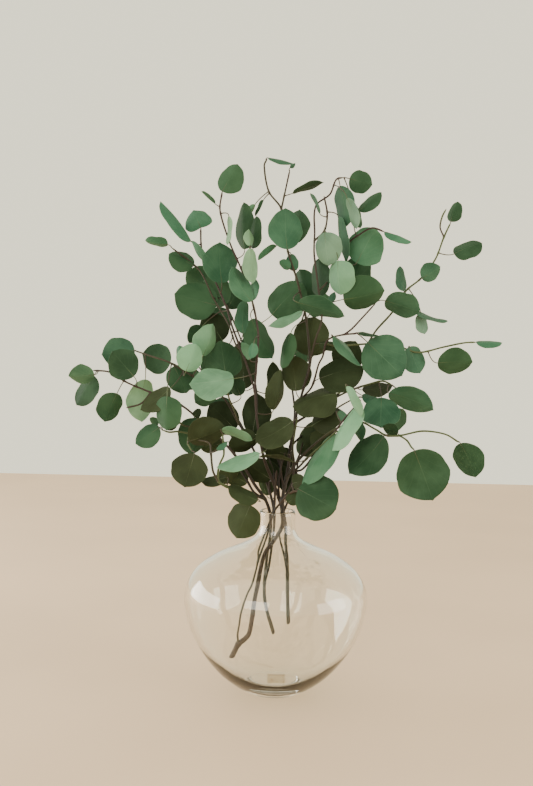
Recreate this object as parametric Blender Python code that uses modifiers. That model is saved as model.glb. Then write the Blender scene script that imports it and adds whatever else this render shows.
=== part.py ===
"""Three cut eucalyptus branches standing in a round clear glass vase.

Units are metres and +Z is up. The origin is the middle of the vase's flat base. -Y faces the viewer.
The tables hold centimetres: x and z as sighted on the upright plane through the vase's axis, and y as
the depth behind that plane. A sighted point goes out along the viewer's line of sight to its depth.
"""

import math

import bmesh
import bpy
from mathutils import Vector

CM = 0.01
EYE = Vector((-0.015, -1.185, 0.3965))

# Glass vase: radius and height of the outer wall from the base up, then the inner wall back down, in mm.
VASE_OUTER = (
    (27.0, 0.0), (28.3, 1.0), (45.0, 9.2), (70.0, 32.0), (90.0, 63.0), (100.0, 100.0),
    (95.0, 124.0), (75.0, 144.0), (42.0, 160.3), (24.0, 171.0), (19.8, 182.0), (19.5, 198.2),
)
VASE_RIM = ((18.0, 200.0),)
VASE_INNER = (
    (16.5, 198.2), (16.8, 181.5), (21.9, 168.9), (40.6, 157.6), (73.3, 141.5), (92.4, 122.5),
    (97.0, 100.2), (87.3, 64.2), (66.9, 34.6), (42.0, 15.6),
)
VASE_FLOOR = 10.8
VASE_STEPS = 20

# Blank paper label in a shallow ground pocket under the base, in mm.
LABEL_SIZE = (20.6, 30.0, 0.3)
LABEL_CENTRE = (3.0, -1.0)
LABEL_LIFT = 0.0
POCKET_MARGIN = 0.4
POCKET_DEPTH = 0.6

BLADE_THICK = 0.0007
SHORTEST_STALK = 0.003
STRAIGHT_STALK = 0.026
THICK_WOOD = 2.5
BROAD = 0.035
BROAD_OUTLINE = ((0.13, 0.71), (0.46, 1.04), (0.83, 0.8), (1.0, 0.25))
SMALL_OUTLINE = ((0.24, 0.88), (0.7, 0.92), (1.0, 0.27))
STALK_HALF = 0.0006
ROUNDNESS = 0.95

# Wood of each branch. A shoot is its radius at the root and at the tip in mm, then its x, z, y points.
WOOD = {
    "branch_left": (
        (1.9, 0.9, (
            (-0.15, 6.4, 7.1), (-0.8, 8.4, 6), (-1.2, 10.3, 4.9), (-1.25, 12, 3.9), (-1.15, 13.6, 3),
            (-1, 15.2, 2.2), (-0.8, 16.7, 1.5), (-0.72, 18.2, 0.75), (-0.85, 19.8, 0.1),
            (-1.4, 21.2, -0.6), (-2.6, 22.8, -1.2), (-4, 25, -1.2), (-6.5, 27.8, -1), (-8.8, 29.8, -0.6),
            (-10.8, 31.3, -0.3), (-14.1, 32.6, 0.2), (-16.65, 33.6, 0), (-18.6, 34.7, -0.4),
            (-20.4, 34.85, -0.8),
        )),
        (1.4, 0.9, (
            (-1.25, 12, 3.9), (-0.95, 13.2, 3.5), (-0.72, 14.4, 3.1), (-0.5, 16.4, 2.3),
            (-0.35, 18.4, 1.3), (-0.4, 20, 1.15), (-0.9, 22, 1.4), (-1.8, 24.5, 1.6), (-3.2, 27.4, 2.4),
            (-4.5, 29.5, 2.8), (-6, 32, 2.2), (-8, 33.6, 1), (-9.6, 34.5, 0), (-12.1, 35.9, -0.6),
            (-14, 36.5, 0), (-15.9, 37.1, 1.3),
        )),
        (1, 0.9, (
            (-8.2, 29.3, -0.7), (-9.4, 28.9, -1.2), (-9.8, 28.2, -1.6), (-9.95, 27.2, -2.6),
            (-9.5, 26.3, -3.6),
        )),
        (1, 0.9, (
            (-9.8, 28.2, -1.6), (-11, 28.4, -1.6), (-12, 28.3, -1.5), (-12.7, 28.5, -1.5),
        )),
        (1, 0.9, (
            (-9.4, 28.9, -1.2), (-10.5, 29.1, -1.2), (-11.1, 29.6, -1.2),
        )),
        (1.2, 0.9, (
            (-1.4, 21.2, -0.6), (-3.3, 21.8, -2.2), (-5.4, 22.4, -3.2), (-6.5, 23, -3.6),
            (-6.6, 24, -3.8), (-6.4, 25, -4), (-6, 26, -4.2), (-6.2, 28.3, -4.2),
        )),
        (1, 0.9, (
            (-6.5, 23, -3.6), (-7.1, 24, -4), (-7.3, 25, -4.2), (-7.4, 26, -4.2), (-7.6, 27.2, -3.9),
            (-8.8, 27.5, -3.5),
        )),
        (1, 0.9, (
            (-1.4, 21.2, -0.6), (-2.6, 21.9, -0.3), (-3.4, 23.2, 0.2), (-4.3, 24.6, 1.4),
            (-4.9, 26.5, 2.6), (-5.2, 28, 3.6), (-6, 28.2, 5.4), (-6.2, 28, 6.6),
        )),
        (1, 0.9, (
            (-4.4, 29.3, 2.8), (-4.8, 30.4, 2), (-5.1, 31.1, 1.5), (-5.6, 32.3, 0.4), (-5.9, 33.9, -0.7),
        )),
        (1, 0.9, (
            (-14.1, 32.6, 0.2), (-14.6, 31.9, 0), (-15.2, 31.3, -0.2), (-16.75, 30.85, -0.4),
        )),
        (1.1, 0.9, (
            (-3.2, 27.4, 2.4), (-4.6, 30, 6), (-6.8, 33, 9), (-9.2, 35.8, 12),
        )),
    ),
    "branch_middle": (
        (2, 0.9, (
            (1.5, 7.5, 7.3), (1.35, 10, 6.1), (1.25, 12.9, 4.2), (1.15, 14.6, 3), (1, 16.2, 2),
            (1, 17.8, 1.2), (0.85, 19, 1), (0.5, 20.2, 0.85), (0.1, 21.4, 0.5), (-0.5, 23, -0.2),
            (-1.6, 25.6, -1.4), (-2.5, 30, -2.1), (-2.8, 33, -2.1), (-3.6, 35.5, -1.9), (-4.6, 38, -1.4),
            (-5.4, 40, -0.8), (-6.05, 42, -0.2), (-7.4, 45, 0.4), (-8.8, 48, 0.6), (-9, 50.4, 0.4),
        )),
        (1.1, 0.9, (
            (1.25, 12.9, 4.2), (1, 14.2, 3.6), (0.75, 15.2, 3), (0.4, 16.4, 2.3), (0.25, 17.6, 1.5),
        )),
        (1, 0.9, (
            (-4.4, 37.5, -1.5), (-4.95, 38, -1), (-5.8, 40.2, 0.2), (-7.5, 43, 1.2), (-9.1, 46, 1.9),
            (-12.1, 48.3, 1.6),
        )),
        (1.2, 0.9, (
            (-2.8, 33, -2.1), (-2.6, 37, -2.6), (-2.55, 39.4, -2.4), (-3.35, 43, -1.6), (-4.55, 46.2, -1),
            (-5.8, 48.9, -0.6), (-6.95, 52.4, -0.4), (-6.75, 54.4, -0.4),
        )),
        (1, 0.9, (
            (-4.55, 46.2, -1), (-3.9, 47.6, -1.3), (-3.65, 48.5, -1.5),
        )),
        (1.1, 0.9, (
            (-2.5, 30, -2.1), (-2.6, 33, 2), (-3.4, 36, 6), (-4.8, 39.5, 9.5), (-6.2, 42.6, 12),
            (-7.3, 44.8, 13.2),
        )),
    ),
    "branch_right": (
        (2.8, 0.9, (
            (-4.7, 3.6, 2), (-4.4, 4.2, 2), (-4, 5, 1.95), (-3.3, 5.6, 1.9), (-2.85, 6.2, 1.85),
            (-2.5, 8.2, 1.55), (-2.3, 10, 1.25), (-1.95, 12, 0.9), (-1.6, 14, 0.55), (-1.2, 15.2, 0.35),
            (-0.65, 16, 0.2), (0.05, 17.2, 0.05), (0.45, 18, 0), (0.62, 18.7, -0.05), (0.55, 19.6, -0.1),
            (0.5, 21, -0.1), (0.7, 22.6, 0.2), (1, 24, 0.6), (1.3, 27.5, 1), (1.8, 30.5, 0.8),
            (2.5, 33.4, 0.3), (3.1, 36, 0.4), (3, 38, 0.6), (2.6, 41, 0.4), (2.1, 43, 0),
            (1.5, 45.2, -0.4), (0.4, 48.4, -0.8), (-0.35, 52.7, 0), (-1.75, 54.55, 0.2),
            (-2.3, 57.3, 0.2), (-2, 58, 0.1),
        )),
        (1, 0.9, (
            (-0.35, 52.7, 0), (0.1, 55, 0.6), (0.45, 56.8, 0.9),
        )),
        (1, 0.9, (
            (-4, 5, 1.95), (-4.1, 6.1, 1.4), (-3.95, 7.1, 1), (-3.8, 8.3, 0.6), (-3.5, 9.5, 0.2),
            (-3.1, 10.7, -0.1), (-2.5, 12.1, -0.4), (-2, 14.4, -0.7), (-2, 15.2, -0.8),
            (-1.6, 16.5, -0.95), (-0.95, 18.2, -1.1), (-0.3, 20, -1.35), (0.3, 20.8, -1.8),
            (1, 21.6, -2.7), (1.7, 22.1, -3.6), (2.6, 22.15, -4.7),
        )),
        (1, 0.9, (
            (-2.05, 14.1, -0.7), (-1.65, 15.3, -0.5), (-1.35, 16.2, -0.45), (-1.05, 17.2, -0.6),
            (-0.75, 18.4, -0.75), (-0.5, 19.8, -0.85), (-0.35, 21.2, -0.9), (-0.3, 22.8, -1.3),
            (-0.2, 24.4, -1.9),
        )),
        (1.3, 0.9, (
            (2.5, 33.4, 0.3), (3, 35, -0.7), (3.3, 37, -1.4), (3.75, 39, -1.8), (4.3, 40.9, -1.8),
            (3.9, 44, -1.4), (3.3, 48, -1), (3.3, 50.1, -0.8), (3.35, 53.1, -0.4), (4.85, 54.4, -0.4),
            (5.5, 56, -0.4), (6.3, 56.2, -0.4),
        )),
        (1, 0.9, (
            (3.3, 49.4, -0.9), (4.35, 50.5, -1), (4.6, 52.3, -0.9), (4.2, 54.2, -0.8),
        )),
        (1.2, 0.9, (
            (2.2, 32.2, 0.5), (3.4, 33.6, -0.6), (4.1, 36.1, -1.5), (4.5, 36.9, -1.8), (5, 38.7, -2.2),
            (6.5, 39.3, -2.4), (8.2, 39.5, -2.4),
        )),
        (1, 0.9, (
            (6.8, 39.35, -2.4), (7.6, 40, -2.3), (8.5, 41, -2.2), (9.9, 42.6, -2),
        )),
        (1.1, 0.9, (
            (3.9, 44, -1.4), (5.4, 45.6, 0), (6.8, 47.3, 0.4), (7, 49.2, 0), (8.2, 50.2, -1),
            (9.5, 50.9, -1.5), (10.8, 50.5, -1.5),
        )),
        (1.4, 0.9, (
            (1.65, 29.6, 0.9), (3.5, 30.8, 1.4), (6, 32.5, 2.4), (8, 35.8, 2.6), (10.1, 39.7, 2),
            (11.85, 41.8, 1.6), (13.3, 44.2, 1.2), (14.9, 45.6, 0.8), (16.4, 47.7, 0.5),
            (17.25, 50.1, 0.2), (17.9, 51.6, 0),
        )),
        (1, 0.9, (
            (17.25, 50.1, 0.2), (16.8, 51.1, 0.3), (17, 52.3, 0.3), (17.4, 53.1, 0.3),
        )),
        (1.2, 0.9, (
            (4.9, 38.3, -2.1), (5.8, 38.1, -1.8), (8.2, 38.3, -1.1), (10.5, 38.5, -0.6),
            (12.2, 38.4, -0.4), (14.8, 37.6, -0.3), (17.6, 38.25, -0.3), (19.8, 38.75, -0.4),
            (21.1, 38.85, -0.4),
        )),
        (1.1, 0.9, (
            (6, 32.5, 2.4), (7.6, 33.3, 1.6), (9.5, 34, 0.6), (11.1, 34.4, 0), (12.1, 34, -0.4),
        )),
        (1.4, 0.9, (
            (0.88, 23.5, 0.45), (1.7, 25, 0), (3.5, 27, -0.8), (6, 29, -2), (8.7, 29.9, -3.2),
            (10.5, 29.1, -4), (11.6, 28.5, -4.6), (13.1, 28.5, -5.2), (15.6, 29.05, -5.6),
            (18.1, 28.75, -5.6), (19.6, 27.9, -5.6),
        )),
        (1, 0.9, (
            (13.1, 28.5, -5.2), (13.9, 28, -6.8), (14.4, 27.3, -8.6), (14.7, 27, -9.8),
        )),
        (1, 0.9, (
            (0.95, 23.8, 0.55), (1.45, 24.3, -0.2), (1.6, 25.5, -1), (1.5, 27, -1.9), (1.9, 30.2, -3.4),
        )),
        (1, 0.9, (
            (1.45, 24.3, -0.2), (2.1, 24.7, -0.8), (3, 25.7, -1.8), (4.6, 27.2, -3.2), (6.3, 28.9, -4.6),
        )),
        (1, 0.9, (
            (1.1, 24.4, 0.6), (2.5, 24.5, -0.6), (3.9, 26.2, -1.6), (5.6, 28.2, -3.4), (7.2, 30.4, -5),
            (8.75, 32.2, -6.6),
        )),
        (1.2, 0.9, (
            (1.5, 29, 0.9), (1.6, 31, 3.5), (1.2, 34.5, 7), (1.6, 38.6, 10), (2.4, 41.6, 12),
            (3.4, 44.8, 13.4), (4.4, 47.4, 14),
        )),
        (1.1, 0.9, (
            (8, 35.8, 2.6), (8.6, 36.6, 5), (9.8, 37.2, 8), (11, 37.2, 10.4),
        )),
        (1.2, 0.9, (
            (1.2, 27, 1), (2.6, 28.4, 4), (4.6, 30, 7.5), (6.6, 31.6, 10.5), (8.6, 32.6, 12.4),
            (9.6, 32.4, 13),
        )),
    ),
}

# Leaves of each branch: base x, z, tip x, z, width as sighted, depth at the base, and the side the
# blade turns to: 1 away from the viewer, -1 towards.
LEAVES = {
    "branch_left": (
        (-20.25, 34.4, -23, 34.2, 2, -1.6, 1), (-20.3, 34.3, -22.1, 31.1, 2.2, 0.4, -1),
        (-15.9, 37.1, -19.4, 36.6, 3.5, 1.6, 1), (-15.95, 34.3, -18.3, 36.9, 3.4, -1, -1),
        (-12, 35.9, -15, 36.7, 3.4, 1.2, 1), (-14.7, 34, -15, 29.45, 3, 1.4, 1),
        (-12, 33.1, -15.1, 30.7, 2, -1.9, -1), (-17.75, 32.4, -19, 29.35, 2.6, 0, 1),
        (-13.1, 28.8, -15.6, 27, 2.3, -1.5, -1), (-13.3, 29, -14.1, 29.8, 0.8, -0.4, 1),
        (-12.3, 32.2, -12.3, 28.6, 2.8, -3.4, -1), (-11.2, 29.2, -12.7, 28.9, 1.3, -0.6, 1),
        (-11.1, 31.4, -12.3, 32.25, 0.5, -0.7, -1), (-9, 29.9, -9.6, 26, 3.4, 1, 1),
        (-9.8, 27.4, -6, 29, 3, -3.2, -1), (-9.3, 30, -8.7, 30.9, 0.9, -1, 1),
        (-4.8, 28.8, -7.6, 31.4, 3.6, 4.2, 1), (-2.9, 28.3, -2.5, 32.7, 3.3, 4.2, 1),
        (-6.3, 28.7, -3, 27.65, 1, -4.3, -1), (-6.8, 26.5, -5.7, 27.3, 0.6, -4.8, 1),
        (-9.2, 26, -10.2, 22.4, 3.9, -4, -1), (-5.7, 23.5, -8.3, 22.9, 1.2, -2.6, -1),
        (-3.4, 22.9, -6.2, 24.3, 2.4, 1.4, 1),
        (-2.2, 21, -5.4, 22.5, 1.7, -3.8, -1), (-3, 20.5, -4.4, 16.9, 3.6, -2.6, -1),
        (-10.3, 35, -9.3, 37.9, 2.7, -3, -1), (-10.8, 35.85, -11.1, 37.7, 1.2, -1.2, 1),
        (-11.6, 35.5, -10.2, 32.7, 3, 0.2, 1), (-8.5, 36.7, -7.5, 40.1, 2.3, -1.2, -1),
        (-5.9, 34.35, -6.6, 38.3, 4.2, -0.9, 1), (-4.3, 32.5, -5.2, 34.4, 1.8, 0.9, 1),
        (-0.8, 23.4, -3.6, 25.2, 2.6, -0.1, 1), (-0.2, 22.9, -2, 25.6, 2, 2.8, 1),
        (-5.4, 30.6, -7.4, 31.6, 2.6, 6.8, 1), (-6.4, 32.6, -5.2, 35, 2.8, 8.8, 1),
        (-8, 34.6, -6.9, 37.2, 3, 10.8, -1), (-8.6, 34.6, -10.8, 33.5, 2.6, 11.2, 1),
        (-7.2, 33, -9.2, 31.6, 2.6, 9.4, 1),
        (-6.4, 28.3, -8.2, 29.6, 2.4, 7.2, 1),
        (-4.7, 25, -5.9, 22.8, 2, -0.2, 1), (-6.2, 27.3, -8.4, 26.5, 1.9, 2.6, 1),
        (-2.4, 28, -5.4, 26.6, 2.4, 1.5, 1), (-1.2, 21.6, -1.8, 24, 1.6, 2.6, 1),
    ),
    "branch_middle": (
        (-6.4, 38.4, -8.3, 41.2, 3.4, 2.4, 1), (-8.6, 39.9, -10, 38.1, 1.7, 0.6, 1),
        (-5.1, 34.3, -9.8, 33.6, 3.2, -5, -1), (-4, 33.2, -4.5, 38.2, 3, 3.2, 1),
        (-4.2, 39.2, -4.1, 42.8, 1.5, -2, -1), (-3.4, 36.4, -4.3, 38.2, 1, -3.2, 1),
        (-2.1, 26.2, -6.65, 24.6, 1.5, -5.8, -1), (-3.3, 40.8, -1, 36.7, 2.8, -0.6, 1),
        (-3, 38.2, -3.3, 36.6, 1, -4.4, -1), (-6.75, 54.4, -5.2, 57.3, 2.6, -0.4, 1),
        (-7.5, 53.1, -8.95, 54.35, 0.35, -0.3, 1), (-10, 49, -13.3, 53.1, 1, 0.2, -1),
        (-9, 50.5, -9.8, 52.3, 3, 0.3, 1), (-8.4, 46.85, -9.9, 49, 0.8, -0.8, 1),
        (-4.2, 48.3, -4.4, 53.2, 2.2, 0.4, 1), (-3.3, 48.4, -3, 51.8, 1.4, -1.4, 1),
        (-3.6, 48.65, -3.8, 50.4, 0.95, -2.2, -1), (-3.55, 48.4, -3.3, 44.7, 1.6, -2.8, 1),
        (-6, 51.8, -6.1, 48.8, 0.55, -1.2, -1), (-6.6, 44.6, -6.9, 48.9, 3.7, -0.8, -1),
        (-3.35, 42.7, -5.5, 46.3, 2, -3.2, -1), (-3.3, 42.8, -3.1, 45.2, 0.9, -1.6, 1),
        (-6.2, 42.2, -8.4, 45, 3, 3, 1),
        (-7.1, 42.2, -11.6, 43.3, 4.1, 1.2, -1), (-7.2, 43.6, -10.4, 45.6, 3.4, 4.8, 1),
        (-9.7, 46.4, -12.3, 47.6, 2.2, 1.6, -1), (-12.5, 48.6, -14.9, 49, 1.05, 1.6, 1),
        (-1.1, 41.3, 2.1, 44.7, 4, 1.2, 1),
        (-0.7, 31, 0, 35.3, 1.8, -1, -1),
        (-3.4, 35.8, -5.2, 37.6, 2.8, 6.2, 1),
        (-5.4, 40.8, -7.9, 40.6, 3, 10.6, -1), (-5.9, 41.9, -4.6, 44.4, 2.6, 11.8, 1),
        (-7.2, 44.6, -9.2, 44.2, 3, 13.2, -1), (-7.2, 45.2, -7, 47.4, 2.6, 14.4, 1),
        (-3.9, 37.4, -2.3, 39.8, 2.4, 7.6, 1), (-1.1, 33.1, -0.9, 36.2, 1.5, 2.6, 1),
        (0.7, 22, 1.5, 24.6, 2.4, 3.6, 1),
    ),
    "branch_right": (
        (-1.9, 58.1, 0.9, 57.5, 0.35, 0.1, 1), (0.5, 57.1, 1, 57.6, 0.4, 1, 1),
        (0.85, 54.4, 4.05, 55.6, 0.75, 0, -1), (3.8, 52.3, 2.75, 54.4, 0.4, -0.8, 1),
        (5.9, 55.3, 6.6, 51, 2.1, -0.8, -1), (6.7, 54, 7.8, 50.8, 1.1, -2.6, -1),
        (7.4, 53.4, 8.2, 50.9, 1.3, 0.6, 1), (6.9, 56.1, 9.3, 55.5, 2.5, -0.4, 1),
        (8, 52.7, 10.3, 54.7, 1.3, 0.2, 1), (7.9, 47.1, 9.8, 50.8, 4, -0.4, 1),
        (10.8, 50.5, 13.7, 49.5, 0.7, -1.5, 1), (6.6, 43.15, 10.9, 44.2, 3.5, -3, -1),
        (7.5, 44.7, 8.6, 47.8, 3.3, 1.8, 1), (5.9, 47.3, 6.3, 43.7, 2.8, -3.2, -1),
        (5.8, 52, 6.7, 47.3, 0.9, -0.6, -1), (4.4, 50.3, 4.9, 46.8, 2.8, -2.6, -1),
        (4, 43.4, 3.8, 47.4, 2.2, 0.4, 1), (1.7, 42.7, 6.65, 41.35, 2, -2.8, -1),
        (5, 42.7, 5.6, 43.9, 0.7, -1.6, 1), (2.2, 41.75, -1.4, 40.1, 1, -1, -1),
        (0.4, 48.4, 0.1, 52.7, 3.6, -2.2, -1), (0.6, 49, 1.6, 52.6, 2.6, 1.4, 1),
        (0.8, 47.9, 1.4, 46.2, 1.3, -0.2, 1), (0.7, 46.3, -0.4, 47.1, 1, -0.8, 1),
        (-0.8, 48.75, -2.7, 47.2, 0.65, -1.5, 1), (-3.2, 53.1, -4.1, 51.7, 0.6, 0.6, 1),
        (-2.3, 53.6, -3.1, 51.9, 0.3, 0.4, 1), (2.9, 42.8, 1.8, 46.2, 2.6, 3.2, 1),
        (17.95, 51.75, 18.6, 53.85, 1.5, 0, 1), (18.4, 48.3, 21.3, 49.5, 2, 0.6, 1),
        (15, 45.6, 16.9, 46.9, 2, 0.2, -1), (13.1, 44.2, 12.6, 46.8, 1.15, 0.8, -1),
        (11.1, 43.1, 14.8, 42, 2.7, -0.6, -1), (14.2, 42.1, 17.85, 41.05, 0.5, 0.7, 1),
        (15, 41.9, 15.5, 39.65, 1.35, 1.3, 1),
        (1.4, 29.8, -2.5, 27.5, 3, -4.8, -1), (1.6, 25.35, -2.1, 25.8, 0.4, -2.9, 1),
        (0.9, 26.2, -1.8, 26.6, 1.2, 0.2, 1), (1.7, 33.1, 1.2, 36.9, 3.2, 1.4, 1),
        (1, 39.4, 0.1, 35.6, 1.5, -0.8, -1), (2.9, 37, 3.5, 41.1, 4.1, 2, 1),
        (4.1, 38.3, 6.3, 38.1, 1, -1.2, 1), (6.1, 32.9, 1.5, 31.4, 3, -1.2, -1),
        (4.2, 34.5, 8.9, 35.8, 3.7, -0.2, 1), (6.6, 35.6, 8, 38.6, 3.4, 1.4, 1),
        (5.6, 39.15, 8.6, 36.05, 1, -3.6, 1), (8.3, 39.6, 10.4, 39.35, 0.4, -2.4, 1),
        (9.3, 38.6, 13.1, 35.1, 5, -2, -1), (13.9, 38.2, 15.1, 35.4, 2.4, -0.4, 1),
        (8.9, 33.4, 12.1, 33.9, 1.5, 1.4, 1), (11.8, 33.1, 16.6, 31.4, 2.6, -0.6, -1),
        (8.9, 32.8, 10.9, 32.1, 1.1, 2, 1), (17, 36.5, 20.7, 36.7, 2.8, -0.4, -1),
        (21.1, 38.85, 23.85, 38.85, 0.75, -0.4, 1), (2.2, 26.2, 4.1, 29.8, 2.8, 2.4, 1),
        (6.2, 28.5, 2.7, 23.1, 2.2, -4.6, -1), (8.6, 31.8, 5.9, 26.8, 1.7, -6.6, -1),
        (7.15, 33.7, 8.8, 30.5, 0.9, -8, -1), (3.6, 29.4, 6.8, 31, 2.6, -0.4, 1),
        (2.2, 22.4, 6.3, 20.3, 5, -5, -1), (8.3, 30.2, 8.9, 27.8, 1.1, -3.8, -1),
        (6.3, 30.9, 7.4, 30.1, 1, -3.4, 1), (11, 32.6, 11, 29.4, 4.3, 0, -1),
        (12.9, 28.7, 11.3, 29.5, 1.2, -4.8, 1), (11.4, 28.4, 7.8, 24.3, 3.6, -5.4, -1),
        (14.75, 26.9, 16.9, 21.6, 5.4, -10.4, -1), (19.75, 27.8, 21.5, 24.2, 3, -5.6, -1),
        (1.6, 23, 3, 23.4, 1.9, -3.4, 1), (1.1, 20.8, 2.2, 21.9, 1.5, -3.4, 1),
        (1.4, 37.2, 3.8, 38.4, 3, 9.2, 1),
        (2.6, 42, 5, 43.4, 3, 12.2, 1), (4.4, 47.6, 4.8, 49.8, 2.6, 14.2, -1),
        (9.8, 37.4, 11.2, 38.6, 2.2, 8.2, -1),
        (11, 37.2, 12.8, 36.8, 2, 11.8, -1),
        (3.4, 29, 3.6, 26.8, 2.2, 5.4, 1), (7.4, 33.8, 6.2, 36, 2.6, 11.8, 1),
        (9.9, 32, 11.8, 30.8, 2.6, 13.2, -1),
        (1.7, 25.1, -1.4, 26.3, 2.5, 2.8, 1), (0.6, 22.4, 0, 25, 2.1, 2.4, 1),
        (5.7, 29.3, 4, 26.4, 2.4, 1.2, 1), (13.4, 31.4, 12.2, 28.9, 2.2, 1.6, 1),
        (0.6, 26.2, -1.9, 27.1, 1.6, 1, 1),
    ),
}

GLASS = (0.86, 0.90, 0.88, 1.0)
PAPER = (0.72, 0.53, 0.27, 1.0)
LEAF_GREENS = {
    "branch_left": (0.11, 0.17, 0.08, 1.0),
    "branch_middle": (0.12, 0.19, 0.10, 1.0),
    "branch_right": (0.14, 0.22, 0.11, 1.0),
}


def placed(x, z, y):
    """The world point of a sighted point (cm) taken out to depth y (cm)."""
    sighted = Vector((x * CM, 0.0, z * CM))
    return EYE + (sighted - EYE) * ((y * CM - EYE.y) / -EYE.y)


def new_collection(name, hidden=False):
    made = bpy.data.collections.new(name)
    made.hide_render = hidden
    bpy.context.scene.collection.children.link(made)
    return made


def new_object(name, mesh, home):
    made = bpy.data.objects.new(name, mesh)
    home.objects.link(made)
    return made


def mesh_from(bm, name):
    """Turn the faces outward and store them as a mesh."""
    bmesh.ops.recalc_face_normals(bm, faces=bm.faces[:])
    mesh = bpy.data.meshes.new(name)
    bm.to_mesh(mesh)
    bm.free()
    return mesh


def coloured(obj, colour, roughness, clear=0.0):
    """Give an object its own material."""
    made = bpy.data.materials.new(obj.name)
    made.use_nodes = True
    shader = made.node_tree.nodes["Principled BSDF"]
    shader.inputs["Base Color"].default_value = colour
    shader.inputs["Roughness"].default_value = roughness
    shader.inputs["Transmission Weight"].default_value = clear
    obj.data.materials.clear()
    obj.data.materials.append(made)


def turned(name, profile, steps, home):
    """A solid turned about Z from a profile of radius and height in mm, on the axis at both ends."""
    bm = bmesh.new()
    last = None
    for radius, height in profile:
        point = bm.verts.new((radius * 0.001, 0.0, height * 0.001))
        if last is not None:
            bm.edges.new((last, point))
        last = point
    mesh = bpy.data.meshes.new(name)
    bm.to_mesh(mesh)
    bm.free()
    made = new_object(name, mesh, home)
    turn = made.modifiers.new("turn", "SCREW")
    turn.axis = "Z"
    turn.angle = math.tau
    turn.steps = steps
    turn.render_steps = steps
    turn.use_merge_vertices = True
    turn.merge_threshold = 0.00001
    turn.use_smooth_shade = False
    return made


def box(name, size, centre, home):
    """A box of a size and centre in mm."""
    bm = bmesh.new()
    bmesh.ops.create_cube(bm, size=1.0)
    bmesh.ops.scale(bm, vec=[side * 0.001 for side in size], verts=bm.verts[:])
    bmesh.ops.translate(bm, vec=[place * 0.001 for place in centre], verts=bm.verts[:])
    return new_object(name, mesh_from(bm, name), home)


def settle(obj):
    """Replace an object's modifiers, or a curve, by the mesh they make."""
    graph = bpy.context.evaluated_depsgraph_get()
    mesh = bpy.data.meshes.new_from_object(obj.evaluated_get(graph))
    if obj.type == "MESH":
        obj.modifiers.clear()
        obj.data = mesh
        return obj
    bm = bmesh.new()
    bm.from_mesh(mesh)
    bmesh.ops.remove_doubles(bm, verts=bm.verts[:], dist=0.00001)
    made = new_object(obj.name + "_solid", mesh_from(bm, obj.name), obj.users_collection[0])
    made.matrix_world = obj.matrix_world
    bpy.data.objects.remove(obj)
    return made


def joined(target, helpers, operation):
    """Add or cut every object of a collection in one Boolean and drop them."""
    change = target.modifiers.new(operation.lower(), "BOOLEAN")
    change.operation = operation
    change.operand_type = "COLLECTION"
    change.collection = helpers
    change.solver = "EXACT"
    settle(target)
    for helper in list(helpers.objects):
        bpy.data.objects.remove(helper)


def shoot(name, root_mm, tip_mm, points, home):
    """One length of wood, tapering from its root to its tip."""
    curve = bpy.data.curves.new(name, "CURVE")
    curve.dimensions = "3D"
    curve.bevel_depth = 0.001
    curve.bevel_resolution = 1 if root_mm > THICK_WOOD else 0
    curve.use_fill_caps = True
    line = curve.splines.new("POLY")
    line.points.add(len(points) - 1)
    for index, (point, (x, z, y)) in enumerate(zip(line.points, points)):
        share = index / (len(points) - 1)
        point.co = (*placed(x, z, y), 1.0)
        point.radius = root_mm + (tip_mm - root_mm) * share ** 0.7
    return settle(new_object(name, curve, home))


def stalk_root(base, along, lines):
    """Where a stalk leaves the wood: a place near the blade's base, and behind it if there is one."""
    best = None
    for line in lines:
        for start, end in zip(line, line[1:]):
            for tenth in range(11):
                spot = start.lerp(end, tenth / 10)
                gap = (base - spot).length
                if gap < SHORTEST_STALK:
                    continue
                cost = gap * (2.2 - along.dot(base - spot) / gap)
                if best is None or cost < best[0]:
                    best = (cost, spot)
    return best[1]


def vary(number, kind):
    """A steady value from -1 to 1 that differs from leaf to leaf."""
    return math.sin(number * 12.9898 + kind * 78.233)


def blade_frame(row):
    """Base, direction along, direction across, facing direction, length and half width of a blade."""
    base_x, base_z, tip_x, tip_z, width, depth, side = row
    seen = math.hypot(tip_x - base_x, tip_z - base_z)
    reach = math.sqrt(max(0.0, width * width - seen * seen)) * side
    base = placed(base_x, base_z, depth)
    tip = placed(tip_x, tip_z, depth + reach)
    length = (tip - base).length
    along = (tip - base) / length
    sight = ((base + tip) / 2 - EYE).normalized()
    across = along.cross(sight).normalized()
    facing = across.cross(along)
    full = width if reach else min(ROUNDNESS * seen, max(1.6 * width, 0.62 * seen))
    full = max(full, width)
    roll = side * math.acos(width / full)
    turned_across = across * math.cos(roll) + facing * math.sin(roll)
    turned_facing = turned_across.cross(along)
    return base, along, turned_across, turned_facing, length, full * CM / 2


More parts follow.
